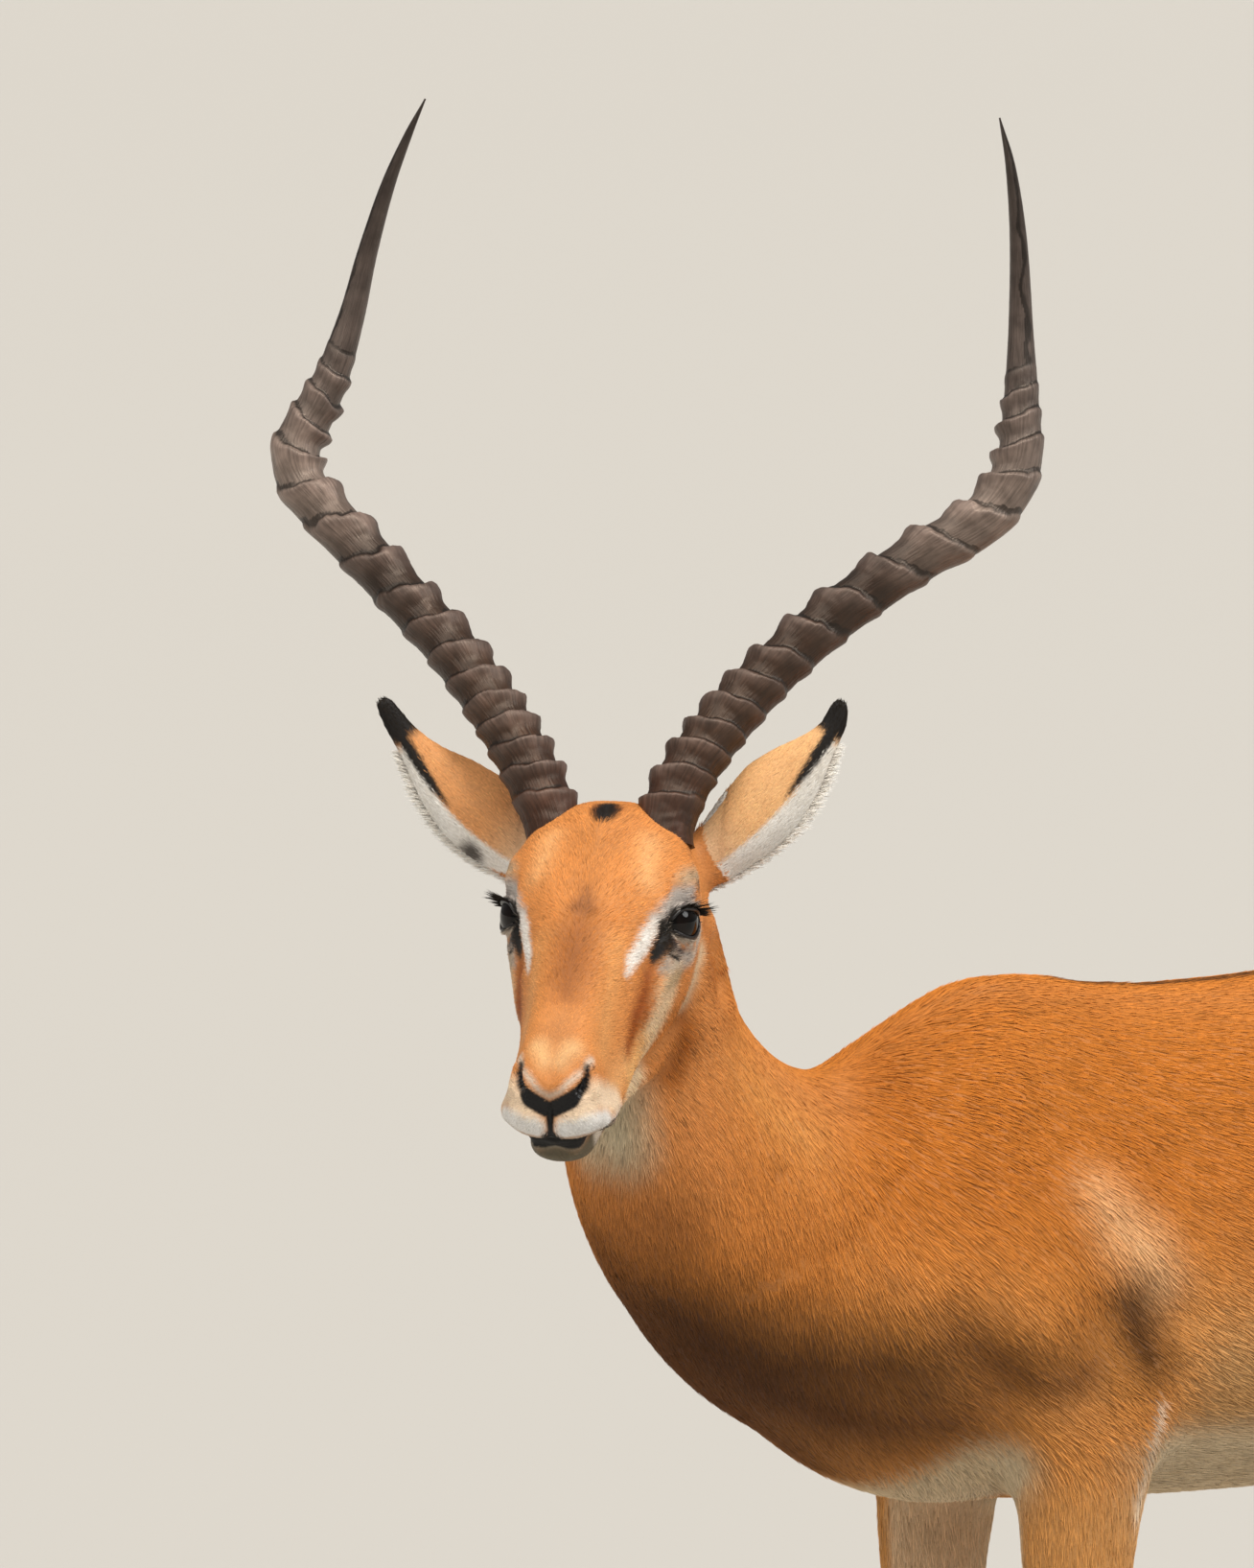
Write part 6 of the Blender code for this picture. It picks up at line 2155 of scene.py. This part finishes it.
# ---------------------------------------------------------------- horns
def horn_base(word, side, ridges):
    """A plain tapering horn, each vertex knowing its ridge number, turn and share."""
    out = np.array((math.cos(HEAD_TURN), math.sin(HEAD_TURN), 0.0)) * side
    back = np.array((-math.sin(HEAD_TURN), math.cos(HEAD_TURN), 0.0))
    rows = through(HORN_LINES[word], HORN_ROWS)
    centre = in_head(HORN_BASE, side) + rows[:, :1] * out + rows[:, 1:2] * back
    centre = centre + rows[:, 2:3] * np.array((0, 0, 1.0))
    travelled = np.concatenate([[0], np.cumsum(np.linalg.norm(np.diff(centre, axis=0), axis=1))])
    length = travelled[-1]
    known = np.linspace(0, 1, len(RIDGE_SPACING))
    spacing = np.interp(np.linspace(0, 1, ridges), known, RIDGE_SPACING)
    marks = FIRST_RIDGE + np.concatenate([[0], np.cumsum(spacing)])
    angle = np.linspace(0, 2 * math.pi, HORN_SIDES, endpoint=False)
    frame_side = back
    rings, shares, turns, radii = [], [], [], []
    for share in np.linspace(0, 1, HORN_RINGS):
        at = share * length
        ends = np.clip((at - HORN_SPAN, at + HORN_SPAN), 0, length)
        point, low, high = (
            np.array([np.interp(d, travelled, c) for c in centre.T]) for d in (at, *ends)
        )
        tangent = unit(high - low)
        frame_side = unit(frame_side - tangent * (frame_side @ tangent))
        other = np.cross(tangent, frame_side)
        radius = max(HORN_RADIUS * np.interp(at, travelled, rows[:, 3]), THINNEST_HORN)
        rings.append(
            point
            + radius * (1 + HORN_FLATNESS) * np.cos(angle)[:, None] * frame_side
            + radius * (1 - HORN_FLATNESS) * np.sin(angle)[:, None] * other
        )
        ridge = np.interp(at, marks, np.arange(ridges + 1), left=-1, right=ridges + 1)
        shares.append(np.full(HORN_SIDES, share))
        turns.append(np.full(HORN_SIDES, ridge))
        radii.append(np.full(HORN_SIDES, radius))
    mesh = mesh_of([ring_shape(rings)], "horn_base")
    set_attribute(mesh, "along", "FLOAT", np.concatenate(shares))
    set_attribute(mesh, "ridge", "FLOAT", np.concatenate(turns))
    set_attribute(mesh, "around", "FLOAT", np.tile(angle, len(rings)))
    set_attribute(mesh, "radius", "FLOAT", np.concatenate(radii))
    stretched = np.column_stack([
        np.tile(np.cos(angle), len(rings)) * GRAIN_ROUND,
        np.tile(np.sin(angle), len(rings)) * GRAIN_ROUND,
        np.concatenate(shares) * length * GRAIN_ALONG,
    ])
    set_attribute(mesh, "grain", "FLOAT_VECTOR", stretched)
    return mesh


# The horn's ridges, step by step: a name, an operation or how a span is mapped, and
# what it works on. The count runs up the horn, slanting, by one at each ridge.
RIDGE_STEPS = (
    ("turned", "SUBTRACT", "around", "Front"),
    ("swing", "COSINE", "turned"),
    ("slanted", "MULTIPLY", "swing", "Slant"),
    ("level count", "ADD", "ridge", "slanted"),
    ("unsteady", "SUBTRACT", "rough", 0.5),
    ("wobble", "MULTIPLY", "unsteady", 0.55),
    ("count", "ADD", "level count", "wobble"),
    ("phase", "FRACT", "count"),
    ("rising", "SMOOTHSTEP", "phase", 0.08, 0.80, 0.0, 1.0),
    ("falling", "SMOOTHSTEP", "phase", 0.80, 0.97, 1.0, 0.0),
    ("slow rise", "POWER", "rising", 1.7),
    ("ring", "MULTIPLY", "slow rise", "falling"),
    ("above base", "LINEAR", "count", -0.4, 1.2, 0.0, 1.0),
    ("to go", "SUBTRACT", "Ridges", "count"),
    ("below tip", "LINEAR", "to go", 0.0, 2.5, 0.0, 1.0),
    ("ridged part", "MULTIPLY", "above base", "below tip"),
    ("kept ring", "MULTIPLY", "ring", "ridged part"),
    ("strength", "LINEAR", "swing", -1.0, 0.8, 0.30, 1.0),
    ("crest", "MULTIPLY", "kept ring", "strength"),
    ("coarseness", "LINEAR", "along", 0.0, 0.55, 0.0022, 0.0003),
    ("pitted", "SUBTRACT", "fine", 0.5),
    ("pits", "MULTIPLY", "pitted", "coarseness"),
    ("raised", "SUBTRACT", "crest", 0.35),
    ("settled", "MULTIPLY", "Ridge height", "raised"),
    ("relief", "ADD", "settled", "pits"),
    ("thick part", "LINEAR", "radius", 0.0, 0.010, 0.0, 1.0),
    ("lift", "MULTIPLY", "relief", "thick part"),
    # The hollow beyond each crest only darkens the colour: painted shade, stored with the crests in
    # "crest"; it does not move the surface.
    ("hollow", "LINEAR", "falling", 0.9, 0.1, 0.0, 1.0),
    ("valley", "MULTIPLY", "hollow", "above base"),
    ("shown", "SUBTRACT", "crest", "valley"),
)


def ridge_tree():
    """Raises slanting rings on a horn: slow up to each crest, steep beyond it. It stores the crests,
    less a painted shade in the hollow beyond each, as "crest".
    """
    sockets = {name: "Float" for name in ("Ridge height", "Slant", "Front", "Ridges")}
    tree, given = geometry_tree("horn ridges", {**sockets, "Made of": "Material"})
    known = dict(given.items())
    for name in ("around", "ridge", "along", "radius"):
        known[name] = add_node(
            tree, "GeometryNodeInputNamedAttribute", {"Name": name}, data_type="FLOAT"
        )
    place = add_node(tree, "GeometryNodeInputPosition")
    for name, spacing, detail in (("rough", 18, 2.0), ("fine", 5, 3.0)):
        known[name] = add_node(tree, "ShaderNodeTexNoise", grains(place, spacing, detail))
    for name, step, *values in RIDGE_STEPS:
        values = [known.get(value, value) for value in values]
        if step in ("LINEAR", "SMOOTHSTEP"):
            made = add_node(tree, "ShaderNodeMapRange", spans(*values), interpolation_type=step)
        else:
            made = add_node(tree, "ShaderNodeMath", dict(enumerate(values)), operation=step)
        known[name] = made
    outward = {0: add_node(tree, "GeometryNodeInputNormal"), "Scale": known["lift"]}
    offset = add_node(tree, "ShaderNodeVectorMath", outward, operation="SCALE")
    noted = add_node(
        tree,
        "GeometryNodeStoreNamedAttribute",
        {"Geometry": given["Geometry"], "Name": "crest", "Value": known["shown"]},
        data_type="FLOAT",
        domain="POINT",
    )
    moved = add_node(tree, "GeometryNodeSetPosition", {"Geometry": noted, "Offset": offset})
    return end_tree(tree, moved, given["Made of"])


class IMPALA_OT_horns(bpy.types.Operator):
    """Make the ridged lyre-shaped horns"""

    bl_idname = "impala.horns"
    bl_label = "Horns"

    def execute(self, context):
        looks = context.scene.impala_horns
        keratin = horn_material(looks)
        tree = ridge_tree()
        for word, side in SIDES:
            values = {
                "Ridge height": looks.ridge_height,
                "Slant": looks.slant,
                "Front": math.radians(180.0 - side * RIDGE_TURN),
                "Ridges": float(looks.ridges),
                "Made of": keratin,
            }
            mesh = run_tree("horn_" + word, horn_base(word, side, looks.ridges), tree, values)
            finished("ridged_horn_" + word, mesh, keratin, ["horn_" + word])
        return {"FINISHED"}


# ---------------------------------------------------------------- hooves
def claw_shape(foot, inner_side):
    """One claw: flat sole, pointed toe forward, rounded heel, rim sloping to the heel."""
    turn = np.linspace(0, 2 * math.pi, CLAW_SIDES, endpoint=False)
    lengthwise = np.sin(turn)
    rings = []
    for share in np.concatenate([[0.0, 0.0], np.linspace(0.03, 1.0, CLAW_RINGS)]):
        toe = foot[1] - HOOF_LENGTH * (TOE_SHARE - TOE_SLOPE * share)
        heel = foot[1] + HOOF_LENGTH * (1 - TOE_SHARE - HEEL_SLOPE * share)
        y = (toe + heel) / 2 + lengthwise * (heel - toe) / 2
        squeeze = 1 - 0.5 * np.maximum(-lengthwise, 0) ** 3
        outward = CLAW_GAP / 2 + (1 - np.cos(turn)) / 2 * HOOF_WIDTH * squeeze
        top = CORONET_HEIGHT - CORONET_SLOPE * (y - foot[1])
        bulge = 1 - 0.035 * (share < 0.03) - 0.05 * share**3
        middle = CLAW_GAP / 2 + HOOF_WIDTH / 2
        x = foot[0] + inner_side * (middle + (outward - middle) * bulge)
        y = (toe + heel) / 2 + (y - (toe + heel) / 2) * bulge
        if not rings:
            x = foot[0] + inner_side * (middle + (outward - middle) * SOLE_SHARE)
        rings.append(np.column_stack([x, y, share * top]))
    return ring_shape(rings)


class IMPALA_OT_hooves(bpy.types.Operator):
    """Make the cloven hooves"""

    bl_idname = "impala.hooves"
    bl_label = "Hooves"

    def execute(self, context):
        keratin = hoof_material()
        for name, _kind, side, foot in feet():
            for inner_side, place in ((side, "outer"), (-side, "inner")):
                mesh = mesh_of([claw_shape(foot, inner_side)], f"claw_{name}_{place}")
                finished(f"claw_{name}_{place}", mesh, keratin, [f"hoof_{name}_{place}"])
        return {"FINISHED"}


# ---------------------------------------------------------------- stage
CAMERA_AIM = np.array((0.0065, -0.3755, 0.9692))
CAMERA_AZIMUTH = math.radians(57.0)
CAMERA_ELEVATION = math.radians(6.0)
CAMERA_DISTANCE = 24.0
CAMERA_LENS = 898.4
SENSOR_WIDTH = 36.0
FARTHEST_SEEN = 200.0
FLOOR_REACH = 60.0
LAMP_AIM = (0.0, 0.0, 0.8)
LAMP_DISTANCE = 4.0


def towards(azimuth, elevation):
    """The direction from the animal to a point at that azimuth and elevation."""
    return np.array((
        math.sin(azimuth) * math.cos(elevation),
        -math.cos(azimuth) * math.cos(elevation),
        math.sin(elevation),
    ))


class IMPALA_OT_stage(bpy.types.Operator):
    """Set the pale floor, the soft lights and the camera"""

    bl_idname = "impala.stage"
    bl_label = "Stage"

    def execute(self, context):
        looks = context.scene.impala_stage
        scene = context.scene
        around = ((-1, -1), (1, -1), (1, 1), (-1, 1))
        corners = [(FLOOR_REACH * x, FLOOR_REACH * y, 0) for x, y in around]
        mesh = bpy.data.meshes.new("floor")
        mesh.from_pydata(corners, [], [(0, 1, 2, 3)])
        mesh.materials.append(floor_material(looks))
        linked("floor", mesh)

        camera_data = bpy.data.cameras.new("camera")
        camera_data.lens = CAMERA_LENS
        camera_data.sensor_width = SENSOR_WIDTH
        camera_data.clip_end = FARTHEST_SEEN
        camera = bpy.data.objects.new("camera", camera_data)
        back = Vector(towards(CAMERA_AZIMUTH, CAMERA_ELEVATION))
        camera.location = Vector(CAMERA_AIM) + back * CAMERA_DISTANCE
        camera.rotation_euler = (-back).to_track_quat("-Z", "Y").to_euler()
        scene.collection.objects.link(camera)
        scene.camera = camera

        # Each lamp: name, azimuth, elevation, breadth, power, colour.
        lamps = [
            ("key", 92.0, 60.0, looks.key_angle, looks.key_power, "FFF8EE"),
            ("fill", 6.0, 54.0, math.radians(60.0), looks.fill_power, "FFFBF4"),
            ("rim", 136.0, 30.0, math.radians(26.0), looks.rim_power, "FFFFFF"),
        ]
        for name, azimuth, elevation, angle, power, colour in lamps:
            lamp = bpy.data.lights.new(name, "SUN")
            lamp.angle = angle
            lamp.energy = power
            lamp.color = linear(colour)
            holder = bpy.data.objects.new(name, lamp)
            away = Vector(towards(math.radians(azimuth), math.radians(elevation)))
            holder.location = Vector(LAMP_AIM) + away * LAMP_DISTANCE
            holder.rotation_euler = (-away).to_track_quat("-Z", "Y").to_euler()
            scene.collection.objects.link(holder)

        world = bpy.data.worlds.new("pale room")
        world.use_nodes = True
        room = world.node_tree.nodes["Background"]
        room.inputs["Color"].default_value = (*linear("F4F2EE"), 1.0)
        room.inputs["Strength"].default_value = looks.sky_level
        scene.world = world
        scene.view_settings.view_transform = "Standard"
        return {"FINISHED"}


class IMPALA_PT_panel(bpy.types.Panel):
    """Lists the impala's sizes and the steps that build it"""

    bl_label = "Impala ram"
    bl_idname = "IMPALA_PT_panel"
    bl_space_type = "VIEW_3D"
    bl_region_type = "UI"
    bl_category = "Impala"

    def draw(self, context):
        for operator in STEPS:
            self.layout.operator(operator.bl_idname)
        for name in GROUPS:
            group = getattr(context.scene, name)
            box = self.layout.box()
            for key in group.bl_rna.properties.keys():
                if key not in ("rna_type", "name"):
                    box.prop(group, key)


STEPS = (
    IMPALA_OT_skin,
    IMPALA_OT_coat,
    IMPALA_OT_eyes,
    IMPALA_OT_lids,
    IMPALA_OT_lashes,
    IMPALA_OT_fringes,
    IMPALA_OT_horns,
    IMPALA_OT_hooves,
    IMPALA_OT_stage,
)
GROUPS = {
    "impala_coat": ImpalaCoat,
    "impala_horns": ImpalaHorns,
    "impala_eyes": ImpalaEyes,
    "impala_stage": ImpalaStage,
}


def register():
    for name, group in GROUPS.items():
        bpy.utils.register_class(group)
        setattr(bpy.types.Scene, name, PointerProperty(type=group))
    for step in (*STEPS, IMPALA_PT_panel):
        bpy.utils.register_class(step)


def unregister():
    for step in (IMPALA_PT_panel, *reversed(STEPS)):
        bpy.utils.unregister_class(step)
    for name, group in GROUPS.items():
        delattr(bpy.types.Scene, name)
        bpy.utils.unregister_class(group)


def main():
    register()
    for step in STEPS:
        family, name = step.bl_idname.split(".")
        getattr(getattr(bpy.ops, family), name)()


if __name__ == "__main__":
    main()
